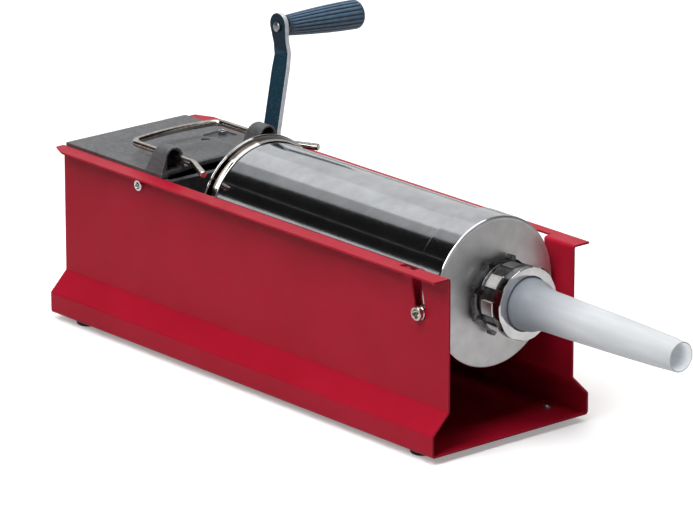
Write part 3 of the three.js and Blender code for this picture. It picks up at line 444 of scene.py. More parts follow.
STEELS = {  # dark and light colours, roughness, and what differs from plain steel
    "stainless": ((0.52, 0.535, 0.56), (0.66, 0.675, 0.70), (0.07, 0.15), {"grain": (0.15, 1, 1)}),
    "cap_steel": ((0.60, 0.595, 0.59), (0.70, 0.69, 0.685), (0.42, 0.52), {"cloud": 14}),
    "polished_stainless": (
        (0.66, 0.65, 0.64), (0.80, 0.79, 0.78), (0.04, 0.09), {"cloud": 12, "dent": 0.02}),
    "bail_steel": ((0.42, 0.38, 0.34), (0.66, 0.61, 0.56), (0.12, 0.24), {"cloud": 6}),
    # a darker copy of the nut's steel, for painted shade on its front band
    "nut_side": ((0.14, 0.145, 0.15), (0.30, 0.305, 0.31), (0.10, 0.20), {"cloud": 5}),
    "machined_steel": (
        (0.34, 0.345, 0.35), (0.50, 0.505, 0.51), (0.24, 0.38), {"grain": (0.2, 1, 1)}),
    # on the nut, also painted shade down in its grooves
    "dark_steel": ((0.07, 0.07, 0.075), (0.16, 0.16, 0.17), (0.16, 0.30), {"cloud": 5}),
    # bare steel edges of the arm, made pale and little metallic so that they also carry a painted
    # highlight
    "crank_edge_and_painted_highlight": (
        (0.60, 0.66, 0.72), (0.84, 0.87, 0.90), (0.3, 0.45), {"cloud": 5, "metallic": 0.25}),
    "bronze": ((0.42, 0.26, 0.10), (0.58, 0.38, 0.17), (0.28, 0.42), {"cloud": 7}),
}


def red_paint():
    """Baked powder paint: slow changes of shade, a fine orange peel and tiny grains."""
    colours = (0.40, 0.006, 0.023), (0.45, 0.008, 0.029)
    return mottled("red_paint", (70,), colours, (18, 4), (0.34, 0.44),
                   ((1.6,), 0.06, 0.25), ((0.5,), 0.02, 0.25), Specular_IOR_Level=0.14)


def cast_alloy():
    colours = (0.055, 0.057, 0.06), (0.11, 0.113, 0.117)
    return mottled("cast_alloy", (9, 4), colours, (3, 3), (0.5, 0.7),
                   ((0.9, 4), 0.12, 0.5), ((3,), 0.2, 0.2), Metallic=0.6)


def rubber_black():
    colours = (0.010, 0.010, 0.011), (0.022, 0.022, 0.023)
    return mottled("rubber_black", (4, 3), colours, (2,), (0.62, 0.82), ((0.5, 3), 0.03, 0.5))


def seal_white():
    colours = (0.60, 0.58, 0.52), (0.72, 0.70, 0.65)
    return mottled("seal_white", (5,), colours, (2,), (0.5, 0.65), ((0.7,), 0.03, 0.4))


def piston_nylon():
    colours = (0.72, 0.71, 0.66), (0.82, 0.81, 0.77)
    return mottled("piston_nylon", (12,), colours, (0.6, 3), (0.36, 0.5),
                   ((0.6, 3), 0.01, 0.4), Subsurface_Weight=0.1)


def hammered_grey():
    look = Look("hammered_grey", Metallic=0.35)
    dents = look.cells(2.6)
    worn = look.mix(look.patches(24, 3), (0.085, 0.088, 0.094), (0.135, 0.138, 0.146))
    look.colour(look.span(dents, 0, 1, 0.2, 0.8), worn, (0.16, 0.163, 0.17))
    look.roughness(look.noise(5, 3), 0.34, 0.5)
    look.relief((dents, 0.18, 0.35), (look.noise(0.8), 0.04, 0.3))
    return look


PAINTED_REFLECTION_BAND = (-371.2, -362.8)  # rear and front of the collar's painted dark reflection band, along X


def collar_steel():
    """Polished steel with a painted dark reflection band behind the ring's bright front."""
    dark, light = (0.55, 0.55, 0.54), (0.70, 0.69, 0.68)
    look = steel("collar_steel", dark, light, (0.06, 0.12), cloud=12, dent=0.02)
    along = look.spot("X")
    rear, front = map(row_x, PAINTED_REFLECTION_BAND)
    # Painted reflection: a dark band round the ring stands in for the dark surroundings it mirrors.
    behind = look.span(along, 0, 1, rear, rear + 0.8 * MM)
    ahead = look.span(along, 0, 1, front - 1.6 * MM, front)
    cloudy = look.patches(12, 3)
    bright = look.mix(cloudy, (0.34, 0.34, 0.33), (0.46, 0.455, 0.45))
    painted_dark_reflection = look.mix(cloudy, (0.030, 0.024, 0.020), (0.085, 0.070, 0.058))
    look.colour(behind, bright, look.mix(ahead, painted_dark_reflection, bright))
    return look


def crank_steel():
    """Blued flat bar with a rubbed, speckled face, darker above its upper bend."""
    look = Look("crank_steel", Metallic=0.7)
    speckle = look.span(look.noise(1.1, 5), 0, 1, 0.42, 0.62)
    blued = look.mix(speckle, (0.005, 0.020, 0.040), (0.070, 0.22, 0.33))
    worn = look.mix(look.patches(11, 3), blued, (0.026, 0.085, 0.14))
    bend = (TO_ROW @ (crank_at + ARM_UP * ARM_BENDS["high"])).z
    above_bend = look.span(look.spot("Z"), 0, 0.75, bend, bend + 5 * MM)
    look.colour(above_bend, worn, (0.004, 0.010, 0.018))
    look.roughness(speckle, 0.32, 0.5, 0, 1)
    look.relief((look.noise(1.1, 5), 0.04, 0.4), (look.noise(7), 0.2, 0.2))
    return look


def grip_plastic():
    """Moulded slate-blue plastic, with painted shade down in the flutes."""
    look = Look("grip_plastic", Specular_IOR_Level=0.5)
    raised = look.node("ShaderNodeAttribute", attribute_name="raised").outputs["Fac"]
    rubbed = look.mix(look.patches(6, 3), (0.065, 0.125, 0.20), (0.105, 0.19, 0.29))
    # Painted shade: near black down in the flutes, the plastic's own blue on the ribs.
    look.colour(look.span(raised, 0, 1, 0.1, 0.75), (0.012, 0.020, 0.034), rubbed)
    look.roughness(look.noise(2.5, 3), 0.32, 0.48)
    look.relief((look.noise(0.5, 3), 0.02, 0.3))
    return look


FUNNEL_PAINTED_SHADE = (24, 110)  # along X, where the funnel's painted shade at its wide end starts to clear and is clear
FUNNEL_TIP_GLOW_RADII = (13.1, 13.7)  # radii between which the painted glow inside the tip fades out


def funnel_plastic():
    """Milky polyethylene with flow marks, painted shade at its wide end where the spout shows
    through, and a painted glow.
    """
    look = Look("funnel_plastic", Subsurface_Weight=0.4, Specular_IOR_Level=0.3,
                Subsurface_Radius=(0.012, 0.012, 0.012), Emission_Color=(0.93, 0.96, 1.0, 1))
    flow = look.noise(7, 3, (0.12, 1, 1))
    milky = look.mix(look.span(flow), (0.50, 0.515, 0.535), (0.58, 0.595, 0.61))
    shade = [row_x(x) for x in FUNNEL_PAINTED_SHADE]
    along = look.spot("X")
    # Painted shade: dark at the wide end, standing in for the spout seen through the wall.
    look.colour(look.span(along, 0, 1, *shade), (0.20, 0.222, 0.26), milky)
    axis = TO_ROW @ Vector((0, 0, AXIS_Z))
    across = look.math("SUBTRACT", look.spot("Y"), axis.y)
    above = look.math("SUBTRACT", look.spot("Z"), axis.z)
    squares = [look.math("MULTIPLY", value, value) for value in (across, above)]
    from_axis = look.math("SQRT", look.math("ADD", *squares))
    # Painted light: a glow inside the tip, and a faint glow over the funnel that grows towards its
    # clear end.
    bore = look.span(from_axis, 0.34, 0, *(radius * MM for radius in FUNNEL_TIP_GLOW_RADII))
    look.drive("Emission Strength", look.math("ADD", bore, look.span(along, 0.01, 0.14, *shade)))
    look.roughness(look.noise(3, 2), 0.36, 0.48)
    look.relief((flow, 0.05, 0.3))
    return look


OTHERS = {make.__name__: make for make in (
    red_paint, cast_alloy, rubber_black, seal_white, piston_nylon, hammered_grey, collar_steel,
    crank_steel, grip_plastic, funnel_plastic,
)}


@cache
def material(name):
    """The material of that name, made when it is first asked for."""
    if name in STEELS:
        *values, differences = STEELS[name]
        return steel(name, *values, **differences).material
    return OTHERS[name]().material


# -------- housing

BEND = 2.6  # middle radius of the sheet's folds
EDGE = 0.35  # easing of cut sheet edges
WALL_Y = 80
FLARE_Z = 42
FOLD_Z = 22
BASE_Y = 100
FLANGE_Y = 98.6
CUT_FROM, CUT_TO = WALL_Y - 4, WALL_Y + 2  # across a wall, for what cuts through it
SLOT_HALF = 7.4
SLOT_LEAN = 9  # how far the slots lean back by the flange
TRUNNION_X = Box("trunnion_pin_left").x
TRUNNION_Z = Box("trunnion_pin_left").z
NOTCH = {"rear": 22, "front": 1.4, "edge": 11}  # rear and front are both behind the trunnion
REAR_CORNER = {"along": 21, "across": 9}
SIDE_SCREW_HOLE = 3.4
FOOT_SCREW_HOLE = 2.8
CRANK_HOLE = 11.5
side_screws = {side: Box(f"side_screw_{side}") for side in SIDES}
FEET = [f"{end}_{side}" for end in ("front", "rear") for side in SIDES]


def cut_side(cutter, side, top):
    """One side's trunnion slot, the notch above it, its screw hole and its cut rear corner."""
    sign = SIDES[side]
    wall = sorted((sign * CUT_FROM, sign * CUT_TO))
    notch = sorted((sign * (WALL_Y - SHEET - 1), sign * (FLANGE_Y - NOTCH["edge"])))
    mouth = TRUNNION_X - SLOT_LEAN
    slot = arc((TRUNNION_X, -TRUNNION_Z), SLOT_HALF, 0, 180, 16)
    slot += [(mouth - SLOT_HALF, -top - 0.5), (mouth + SLOT_HALF, -top - 0.5)]
    prism(slot, SIDE_VIEW, *wall, cutter)
    block(TRUNNION_X - NOTCH["rear"], TRUNNION_X - NOTCH["front"], *notch, top - 1, top + 3, cutter)
    screw = side_screws[side]
    turned(rod(*wall, SIDE_SCREW_HOLE), facing((screw.x, 0, screw.z), (0, 1, 0)), 24, cutter)
    rear, edge = housing.x0 - 1, FLANGE_Y + 0.5
    corner = [
        (rear, sign * (FLANGE_Y - REAR_CORNER["across"])),
        (housing.x0 + REAR_CORNER["along"], sign * edge),
        (rear, sign * edge),
    ]
    prism(corner, TOP_VIEW, top - 2, top + 4, cutter)


def make_housing():
    top = housing.z1 - SHEET
    right = [(-FLANGE_Y, top), (-WALL_Y, top), (-WALL_Y, FLARE_Z), (-BASE_Y, FOLD_Z), (-BASE_Y, 0)]
    outer = right + [(-y, z) for y, z in reversed(right)]
    middle = filleted(offset(outer, SHEET / 2), BEND, steps=6)
    section = offset(middle, SHEET / 2) + offset(middle, -SHEET / 2)[::-1]
    sheet = prism(section, END_VIEW, housing.x0, housing.x1)
    cutter = bmesh.new()
    for side in SIDES:
        cut_side(cutter, side, top)
    for name in FEET:
        foot = Box(f"foot_{name}")
        turned(rod(-2, 4, FOOT_SCREW_HOLE), facing((foot.x, foot.y, 0), UP), 24, cutter)
    crank = Box("crank_bush_outer")
    turned(rod(CUT_FROM, CUT_TO, CRANK_HOLE), facing((crank.x, 0, crank.z), (0, 1, 0)), 48, cutter)
    piece("housing_sheet", reworked(sheet, cutter, bevel=EDGE), "housing_channel")


make_housing()

# -------- feet and fasteners


def make_feet():
    for name in FEET:
        foot = Box(f"foot_{name}")
        head = Box(f"foot_screw_{name}").z0 - 0.3
        small, large = foot.wide / 2 - 2, foot.wide / 2
        inset = foot.z0 + 0.6
        profile = [(head, 0), (head, FOOT_SCREW_HOLE), (foot.z1, FOOT_SCREW_HOLE), (foot.z1, large)]
        profile += [(foot.z0 + 1, large - 0.9), (foot.z0, small)]
        profile += [(foot.z0, 4.5), (inset, 4), (inset, 0)]
        rings = filleted(profile, [0, 0, 0, 0.5, 0.8, 0.6, 0.2, 0.2, 0], steps=4)
        pad = turned(rings, facing((foot.x, foot.y, 0), UP), 64)
        piece(f"foot_pad_{name}", pad, f"foot_{name}")


def hexagon(flats):
    """The radius of a hexagon, flats apart across its flats, at an angle."""
    return lambda angle: flats / 2 / cos((angle + TAU / 12) % (TAU / 6) - TAU / 12)


def cap_screw(node, head_radius, head_height, shank_radius, shank_length, place):
    """Socket-head screw whose head sits on the frame's XY plane."""
    socket = hexagon(head_radius * 0.98)
    floor = head_height * 0.4
    rim = head_radius * 0.62
    outside = [(-shank_length, 0), (-shank_length, shank_radius), (0, shank_radius)]
    outside += [(0, head_radius), (head_height, head_radius), (head_height, rim)]
    rings = filleted(outside, [0, 0.4, 0.2, 0.3, min(0.9, head_height * 0.3), 0], steps=4)
    rings += [(head_height - 0.15, rim * 0.97), (head_height - 0.5, socket)]
    rings += [(floor, socket), (floor - 0.6, 0)]
    piece(node.replace("screw", "cap_screw"), turned(rings, place, 48), node)


SIDE_HEAD = 5
REAR_HEAD = 2.6
COVER_HEAD = 3.4


def make_screws():
    for side, sign in SIDES.items():
        screw = side_screws[side]
        seat = (screw.y1 - SIDE_HEAD) if sign > 0 else (screw.y0 + SIDE_HEAD)
        place = facing((screw.x, seat, screw.z), (0, sign, 0))
        cap_screw(f"side_screw_{side}", screw.high / 2, SIDE_HEAD, 3, 8, place)
        screw = Box(f"rear_screw_{side}")
        place = facing((screw.x0 + REAR_HEAD, screw.y, screw.z), (-1, 0, 0))
        cap_screw(f"rear_screw_{side}", screw.wide / 2, REAR_HEAD, 2.5, 9, place)
    screw = Box("cover_screw")
    place = facing((screw.x, screw.y, screw.z1 - COVER_HEAD), UP)
    cap_screw("cover_screw", screw.wide / 2, COVER_HEAD, 2.6, 4, place)


make_feet()
make_screws()

# -------- gearbox cover

cover = Box("gearbox_cover")
bail = Box("bail")
COVER_TOP = cover.z0 + 5
COVER_HOLE_AT = (-500.7, 36)
COVER_HOLE = 5
COVER_SCREW_HOLE = 2.9
NOSE = 12  # how far the cover's front edge curves back between the lugs
POCKET = [(-6, 5), (19, 5), (17, -18), (-4, -24)]  # corners, from the cover's screw
POCKET_DEPTH = 2.2
PAD_EDGE_X = -498  # rear edge of the slightly raised front of the cover
PAD_HALF = 44
LEG_Y = 56
LUG = {"rear": -459, "front": -432, "inner": 46, "arch_y": 60.5, "arch": 11.5, "lean": 9}
LUG_BORE = 3.9
SHOULDER_Z = cover.z1 - LUG["arch"]
HOOD_WALL = 2.6  # round the hollow in the front of each lug
HOOD_DEPTH = 17


def add_lug(body, sign):
    """An arched lug whose rear face leans forwards."""
    middle = (sign * LUG["arch_y"], SHOULDER_Z)
    hood = arc(middle, LUG["arch"], 90 - sign * 90, 90 + sign * 90, 20)
    face = [(sign * cover.y1, COVER_TOP - 2), *hood, (sign * LUG["inner"], COVER_TOP - 2)]
    rise = cover.z1 - COVER_TOP
    ends = []
    for x, lean in ((LUG["rear"], LUG["lean"]), (LUG["front"], 0)):
        leaning = [(x + lean * max(z - COVER_TOP, 0) / rise, y, z) for y, z in face]
        ends.append([body.verts.new(spot) for spot in leaning])
    bridged(ends, body)


def cut_lug(cutter, sign):
    """The bail's hole through a lug, and the hollow in the lug's front."""
    bore = rod(LUG["rear"] - 2, LUG["front"] + 1, LUG_BORE)
    turned(bore, facing((0, sign * LEG_Y, bail.z), (1, 0, 0)), 32, cutter)
    middle, hollow = sign * LUG["arch_y"], LUG["arch"] - HOOD_WALL
    recess = arc((middle, SHOULDER_Z), hollow, 0, 180, 16)
    recess += [(middle - hollow, COVER_TOP + 1.5), (middle + hollow, COVER_TOP + 1.5)]
    prism(recess, END_VIEW, LUG["front"] - HOOD_DEPTH, LUG["front"] + 1, cutter)


def make_cover():
    screw = Box("cover_screw")
    half, front = cover.y1, cover.x1
    across = [(half - 8) * (i / 12 - 1) for i in range(25)]
    nose = [(front - NOSE * (1 - (y / (half - 8)) ** 2), y) for y in across]
    outline = [(cover.x0, half), (cover.x0, -half), (front, -half), *nose, (front, half)]
    body = prism(outline, TOP_VIEW, cover.z0, COVER_TOP)
    pad_front = [(x - 2, y) for x, y in nose if abs(y) < PAD_HALF - 1]
    pad = [(PAD_EDGE_X, -PAD_HALF), *pad_front, (PAD_EDGE_X, PAD_HALF)]
    prism(pad, TOP_VIEW, cover.z0 + 1, COVER_TOP + 0.9, body)
    for sign in SIDES.values():
        add_lug(body, sign)
    cutter = bmesh.new()
    pocket = filleted([(screw.x + x, screw.y + y) for x, y in POCKET], 2.5, closed=True, steps=3)
    prism(pocket, TOP_VIEW, COVER_TOP - POCKET_DEPTH, COVER_TOP + 3, cutter)
    hole = rod(cover.z0 - 1, COVER_TOP + 3, COVER_HOLE)
    turned(hole, facing((*COVER_HOLE_AT, 0), UP), 32, cutter)
    screw_hole = rod(cover.z0 - 1, COVER_TOP, COVER_SCREW_HOLE)
    turned(screw_hole, facing((screw.x, screw.y, 0), UP), 24, cutter)
    for sign in SIDES.values():
        cut_lug(cutter, sign)
    casting = reworked(body, cutter, voxel=0.8)
    piece("cover_casting", casting, "gearbox_cover", sharp=50)


make_cover()

# -------- bail

BAIL_CORNER = 13
BAIL_BEND_X = -407
BAIL_TIP_Y = 74


def make_bail():
    radius = bail.high / 2
    bar = bail.x0 + radius
    half = [(bail.x1 - 1.6, BAIL_TIP_Y), (BAIL_BEND_X, LEG_Y), (bar + 5.5, LEG_Y)]
    half += [(bar + 1.8, LEG_Y - 26), (bar + 0.4, LEG_Y - 42), (bar, 0)]
    corners = [(x, y, bail.z) for x, y in half] + [(x, -y, bail.z) for x, y in reversed(half[:-1])]
    half_radii = [0, 14, BAIL_CORNER, 40, 60]
    path = filleted(corners, [*half_radii, 90, *reversed(half_radii)], steps=10)
    path.insert(1, path[0] + (path[1] - path[0]).normalized() * WIRE_EASE)
    path.insert(len(path) - 1, path[-1] + (path[-2] - path[-1]).normalized() * WIRE_EASE)
    piece("bail_wire", swept(path, radius), "bail", looks=["bail_steel"])


make_bail()

# -------- meat cylinder

cap = Box("front_cap")
spout = Box("spout")
TUBE_RADIUS = tube.wide / 2
TUBE_WALL = 2


def make_tube():
    rings = hoop(tube.x0, tube.x1, TUBE_RADIUS - TUBE_WALL, TUBE_RADIUS, 0.6, steps=4)
    piece("tube_wall", turned(rings, ALONG, 192), "cylinder_tube")


def make_collar():
    """A round bead at the rear, and a band that falls away forwards to the tube."""
    collar = Box("cylinder_collar")
    bore = TUBE_RADIUS + 0.3
    crest = collar.wide / 2
    rear, front = collar.x0, collar.x1
    bead = arc((rear + 1.3, crest - 1.3), 1.3, 180, 45, 10)
    band = [(rear + 2.9, crest - 1.1), (rear + 5, crest - 1.3), (rear + 8, crest - 2.1)]
    band += [(rear + 11, crest - 3.5), (front - 0.8, bore + 0.9)]
    rings = [(rear, bore), *bead, *flowing(band, 5), (front - 0.3, bore + 0.5), (front, bore)]
    ring = turned(rings, ALONG, 192)
    piece("collar_ring", ring, "cylinder_collar", sharp=50, looks=["collar_steel"])


CAP_CROWN = 3.4  # how far the cap's face falls back from its middle to its edge
CAP_NECK = 30.3
CAP_FACE = 3
CAP_SKIRT = 2.2


def make_cap():
    outer = cap.wide / 2
    under = cap.x1 - CAP_FACE
    edge = cap.x1 - CAP_CROWN
    spread = outer - 3 - CAP_NECK
    crown = [(cap.x1 - CAP_CROWN * t * t, CAP_NECK + spread * t) for t in (0.05, 0.3, 0.6, 0.85)]
    profile = [(under, CAP_NECK), (cap.x1, CAP_NECK), *crown, (edge, outer), (cap.x0, outer)]
    profile += [(cap.x0, outer - CAP_SKIRT), (under, outer - CAP_SKIRT)]
    rings = filleted(profile, [0, 0.4, *[0] * len(crown), 3.2, 0.9, 0.6, 0], steps=8)
    shell = turned(rings, ALONG, 192)
    for face in shell.faces:
        face.material_index = 0 if face.calc_center_median().x > edge - 0.6 else 1
    piece("cap_shell", shell, "front_cap", looks=["cap_steel", "stainless"])
    seal = Box("cap_seal")
    rings = hoop(seal.x0, seal.x1, seal.wide / 2 - 2, seal.wide / 2, 0.5)
    piece("cap_seal_ring", turned(rings, ALONG, 128), "cap_seal")


SPOUT_BORE = 26
THREAD_CREST = 30
THREAD_PITCH = 4
THREAD_RINGS = 5  # in each turn of the thread


def threaded(along):
    """The radius of a rounded screw thread at one place along it."""
    return lambda angle: THREAD_CREST - 0.45 + 0.45 * cos(TAU * along / THREAD_PITCH - angle)


def make_spout():
    """Spout with a flange inside the cap and a screw thread outside it."""
    flange = spout.wide / 2
    seat = cap.x1 - CAP_FACE - 0.3
    start = cap.x1 + 2
    rings = [(spout.x0, SPOUT_BORE), (spout.x0, flange)]
    rings += [(seat, flange), (seat, THREAD_CREST), (start, THREAD_CREST)]
    count = int((spout.x1 - 1.5 - start) / THREAD_PITCH * THREAD_RINGS)
    for i in range(count):
        along = i * THREAD_PITCH / THREAD_RINGS
        rings.append((start + 0.4 + along, threaded(start + along)))
    rings += [(spout.x1 - 0.7, THREAD_CREST - 0.9), (spout.x1, THREAD_CREST - 1.4)]
    rings += [(spout.x1, SPOUT_BORE + 0.4), (spout.x1 - 0.4, SPOUT_BORE)]
    piece("spout_threaded", turned(rings, ALONG, 96), "spout")


def make_trunnions():
    """Pins with a groove just outside the wall and a round socket in the tip."""
    for side, sign in SIDES.items():
        pin = Box(f"trunnion_pin_{side}")
        radius = pin.high / 2
        root, tip = (pin.y0, pin.y1) if sign > 0 else (-pin.y1, -pin.y0)
        groove = radius - 0.8
        profile = [(root, 0), (root, radius), (WALL_Y + 1.2, radius), (WALL_Y + 1.8, groove)]
        profile += [(WALL_Y + 3, groove), (WALL_Y + 3.6, radius), (tip, radius)]
        profile += [(tip, 4.5), (tip - 5, 4.3), (tip - 5.6, 0)]
        rings = filleted(profile, [0, 0.3, 0.3, 0.3, 0.3, 0.3, 1.1, 0.35, 0.4, 0], steps=5)
        pin_body = turned(rings, facing((pin.x, 0, pin.z), (0, sign, 0)), 64)
        piece(f"trunnion_{side}", pin_body, f"trunnion_pin_{side}", looks=["bail_steel"])


make_tube()
make_collar()
make_cap()
make_spout()
make_trunnions()

# -------- ring nut, gasket and funnel

nut = Box("ring_nut")
NUT_FIRST = radians(26)
NUT_STEP = TAU / 8
NUT_SOFT = 0.03  # radians that a step in the radius takes
# The second and third looks paint shade: in the nut's grooves, and on its front band.
NUT_LOOKS = ["polished_stainless", "dark_steel", "nut_side"]


def nut_wave(angle):
    """How far an angle is from the nearest lug, in radians. The frame's angle runs from +Z."""
    turn = (angle - NUT_FIRST + NUT_STEP / 2) % NUT_STEP
    return abs(turn - NUT_STEP / 2)


def stepped(low, high, half):
    """A radius that is high within half radians of a lug and low elsewhere."""
    def radius(angle):
        t = min(max((half + NUT_SOFT / 2 - nut_wave(angle)) / NUT_SOFT, 0), 1)
        return low + (high - low) * t * t * (3 - 2 * t)
    return radius


def flat_sided(corner, flat):
    """A radius cut back by eight flats that face the lugs."""
    return lambda angle: min(corner, flat / cos(nut_wave(angle)))


def nut_rings():
    """A lugged ring at the rear, a groove, a band of blocks and an eight-sided rim with a lip."""
    rear, front = nut.x0, nut.x1
    bore, hole, lip = 30.5, 26.6, 2.8
    ring, root, band, rim = 36.2, 32.8, 35.0, 36.5
    lugs = stepped(ring, 39.3, 0.095)
    lugs_eased = stepped(ring - 0.6, 38.7, 0.09)
    blocks = stepped(band, 33.0, 0.17)
    blocks_eased = stepped(band - 0.5, 32.9, 0.17)
    return [
        (rear, bore), (rear, ring - 0.8), (rear + 0.3, lugs_eased), (rear + 0.9, lugs),
        (rear + 6.0, lugs), (rear + 6.6, lugs_eased), (rear + 7.1, ring - 1.2),
        (rear + 7.6, root + 0.3), (rear + 8.4, root), (rear + 12.4, root),
        (rear + 12.9, root + 0.2), (rear + 13.1, blocks_eased), (rear + 13.8, blocks),
        (front - 12.6, blocks),
        (front - 12.0, blocks_eased), (front - 11.8, 33.5), (front - 10.4, 33.3),
        (front - 9.9, flat_sided(rim - 1.0, 35.3)), (front - 9.2, flat_sided(rim, 35.8)),
        (front - 1.4, flat_sided(rim, 35.8)), (front - 0.7, flat_sided(rim - 0.25, 35.6)),
        (front - 0.2, flat_sided(rim - 0.9, 35.2)), (front, rim - 1.9),
        (front, hole + 1.0), (front - 0.3, hole + 0.3), (front - 0.8, hole),
        (front - lip + 0.3, hole), (front - lip, hole + 0.3), (front - lip, bore),
    ]


def nut_look(along, radius):
    """Which of NUT_LOOKS a face has. The dark one is at the rear and gives painted shade in the
    grooves; the third is a darker copy of the steel, painted shade on the front band.
    """
    if nut.x1 - 11.8 < along < nut.x1 - 1:
        return 2
    sunk = along < nut.x1 - 9.9 and radius < 34.4
    return 1 if along < nut.x0 + 7.2 or sunk else 0


def make_nut():
    body = turned(nut_rings(), ALONG, 240)
    to_axis = ALONG.inverted()
    for face in body.faces:
        spot = to_axis @ face.calc_center_median()
        face.material_index = nut_look(spot.z, hypot(spot.x, spot.y))
    piece("nut_ring", body, "ring_nut", sharp=32, looks=NUT_LOOKS)
    gasket = Box("funnel_gasket")
    rings = hoop(gasket.x0, gasket.x1, SPOUT_BORE, gasket.wide / 2, 0.4)
    piece("gasket_ring", turned(rings, ALONG, 96), "funnel_gasket")


FUNNEL_OUTSIDE = [
    (18.9, 25.6), (27, 25.5), (33, 24.6), (39, 22.4), (45, 20.7),
    (54, 19.9), (80, 19.4), (120, 18.6), (160, 17.6), (200, 16.2), (227, 14.75),
]
FUNNEL_WALL = 1.8
FUNNEL_EDGE = 0.4


def make_funnel():
    funnel = Box("funnel")
    flange = funnel.wide / 2
    outside = flowing(FUNNEL_OUTSIDE, 10)
    rear, front, tip = funnel.x0, outside[0][0], funnel.x1
    edge = [(rear, flange - FUNNEL_EDGE), (rear + FUNNEL_EDGE, flange)]
    edge += [(front - FUNNEL_EDGE, flange), (front, flange - FUNNEL_EDGE)]
    rim = [(tip - 0.5, 14.68), (tip - 0.1, 14.35), (tip, 13.9)]
    rim += [(tip - 0.1, 13.4), (tip - 0.6, 13.0)]
    inside = [(x, r - FUNNEL_WALL) for x, r in reversed(outside)]
    rings = [*edge, *outside, *rim, *inside, (rear, outside[0][1] - FUNNEL_WALL)]
    piece("funnel_tube", turned(rings, ALONG, 128), "funnel", sharp=60)


make_nut()
make_funnel()

# -------- piston

PISTON_GROOVE = 4
PISTON_PLATE_RADIUS = 60
PISTON_BOLT_HOLE = 5.3


def make_piston():
    body = Box("piston_body")
    radius = body.wide / 2
    seal = Box("piston_seal")
    rear, front, root = seal.x0 - 0.3, seal.x1 + 0.3, radius - PISTON_GROOVE
    profile = [(body.x0, PISTON_BOLT_HOLE), (body.x0, radius), (rear, radius), (rear, root)]
    profile += [(front, root), (front, radius), (body.x1, radius), (body.x1, PISTON_BOLT_HOLE)]
    rings = filleted(profile, [0, 1.4, 0.4, 0.3, 0.3, 0.4, 1.4, 0], steps=4)
    piece("piston_disc", turned(rings, ALONG, 144), "piston_body")

    lip = seal.wide / 2
    root += 0.3
    profile = [(seal.x0, root), (seal.x0, lip - 0.8), (seal.x, lip)]
    profile += [(seal.x1, lip - 0.8), (seal.x1, root)]
    rings = filleted(profile, [0.3, 0.6, 1.5, 0.6, 0.3], closed=True, steps=4)
    piece("piston_seal_ring", turned(rings, ALONG, 144), "piston_seal")

    plate = Box("piston_plate")
    radii = PISTON_BOLT_HOLE, PISTON_PLATE_RADIUS
    rings = hoop(plate.x0, plate.x1, *radii, [0, 0.4, 0.9, 0], steps=4)
    piece("piston_face_plate", turned(rings, ALONG, 144), "piston_plate")

    bolt = Box("piston_bolt")
    head = plate.x1 + 0.3
    profile = [(bolt.x0, 0), (bolt.x0, 5), (head, 5), (head, 10), (bolt.x1 - 2, 9), (bolt.x1, 0)]
    rings = filleted(profile, [0, 0.8, 0.2, 0.6, 3, 0], steps=6)
    piece("piston_dome_bolt", turned(rings, ALONG, 64), "piston_bolt")


make_piston()

# -------- crank

crank_at, _ = joint_line("crank_turn")
grip_at, grip_along = joint_line("grip_spin")
throw = grip_at - crank_at
CRANK_RADIUS = hypot(throw.x, throw.z)
ARM_UP = Vector((throw.x, 0, throw.z)).normalized()
CRANK_FACE = facing((crank_at.x, 0, crank_at.z), (0, 1, 0), ARM_UP)
arm = Box("crank_arm")
ARM_THICKNESS = 5
ARM_BENDS = {"low": 24, "high": 101.6}
ARM_SPLAY = radians(21.5)
ARM_TOP_SPLAY = radians(2.5)
ARM_HEAD = {"radius": 12.15, "past": 2}
ARM_FOOT = 13
ARM_HALF_WIDTH = 12
ARM_NECK = 9.8
ARM_CHAMFER = 0.45


def make_hub():
    hub = Box("crank_hub")
    rear, front = hub.y0, hub.y1
    radius = hub.long / 2
    profile = [(rear, 8.4), (rear, 12.6), (rear + 1.8, radius)]
    profile += [(front - 2, radius), (front, 13), (front, 8.4)]
    rings = filleted(profile, [0, 0.5, 0.7, 0.6, 0.5, 0], steps=4)
    piece("hub_sleeve", turned(rings, CRANK_FACE, 72), "crank_hub")


def arm_line():
    """The bend line of the arm's inner face: (distance out along Y, distance up the arm)."""
    low, high = ARM_BENDS["low"], ARM_BENDS["high"]
    top = CRANK_RADIUS + 18
    spread = (high - low) * tan(ARM_SPLAY)
    points = [(arm.y0, -18), (arm.y0, low), (arm.y0 + spread, high)]
    points.append((arm.y0 + spread + (top - high) * tan(ARM_TOP_SPLAY), top))
    return filleted(points, [0, 14, 9, 0], steps=10)


def arm_outline():
    """The flat bar before it is bent, as (across, up): round ends and tapered sides."""
    foot = arc((0, 0), ARM_FOOT, 150, 390, 28)
    head = arc((0, CRANK_RADIUS + ARM_HEAD["past"]), ARM_HEAD["radius"], -15, 195, 32)
    neck = (ARM_NECK, CRANK_RADIUS - 16)
    corners = [foot[-1], (ARM_HALF_WIDTH, 18), (ARM_HALF_WIDTH, 88), neck, head[0]]
    side = filleted(corners, [0, 8, 60, 24, 0], steps=8)[1:-1]
    return foot + side + head + [(-x, up) for x, up in reversed(side)]


def distance_out(line, level):
    """How far out the bent line is at a height up the arm."""
    for (out0, up0), (out1, up1) in zip(line, line[1:]):
        if up0 <= level <= up1 and up1 > up0:
            return out0 + (out1 - out0) * (level - up0) / (up1 - up0)
    return line[0][0] if level < line[0][1] else line[-1][0]


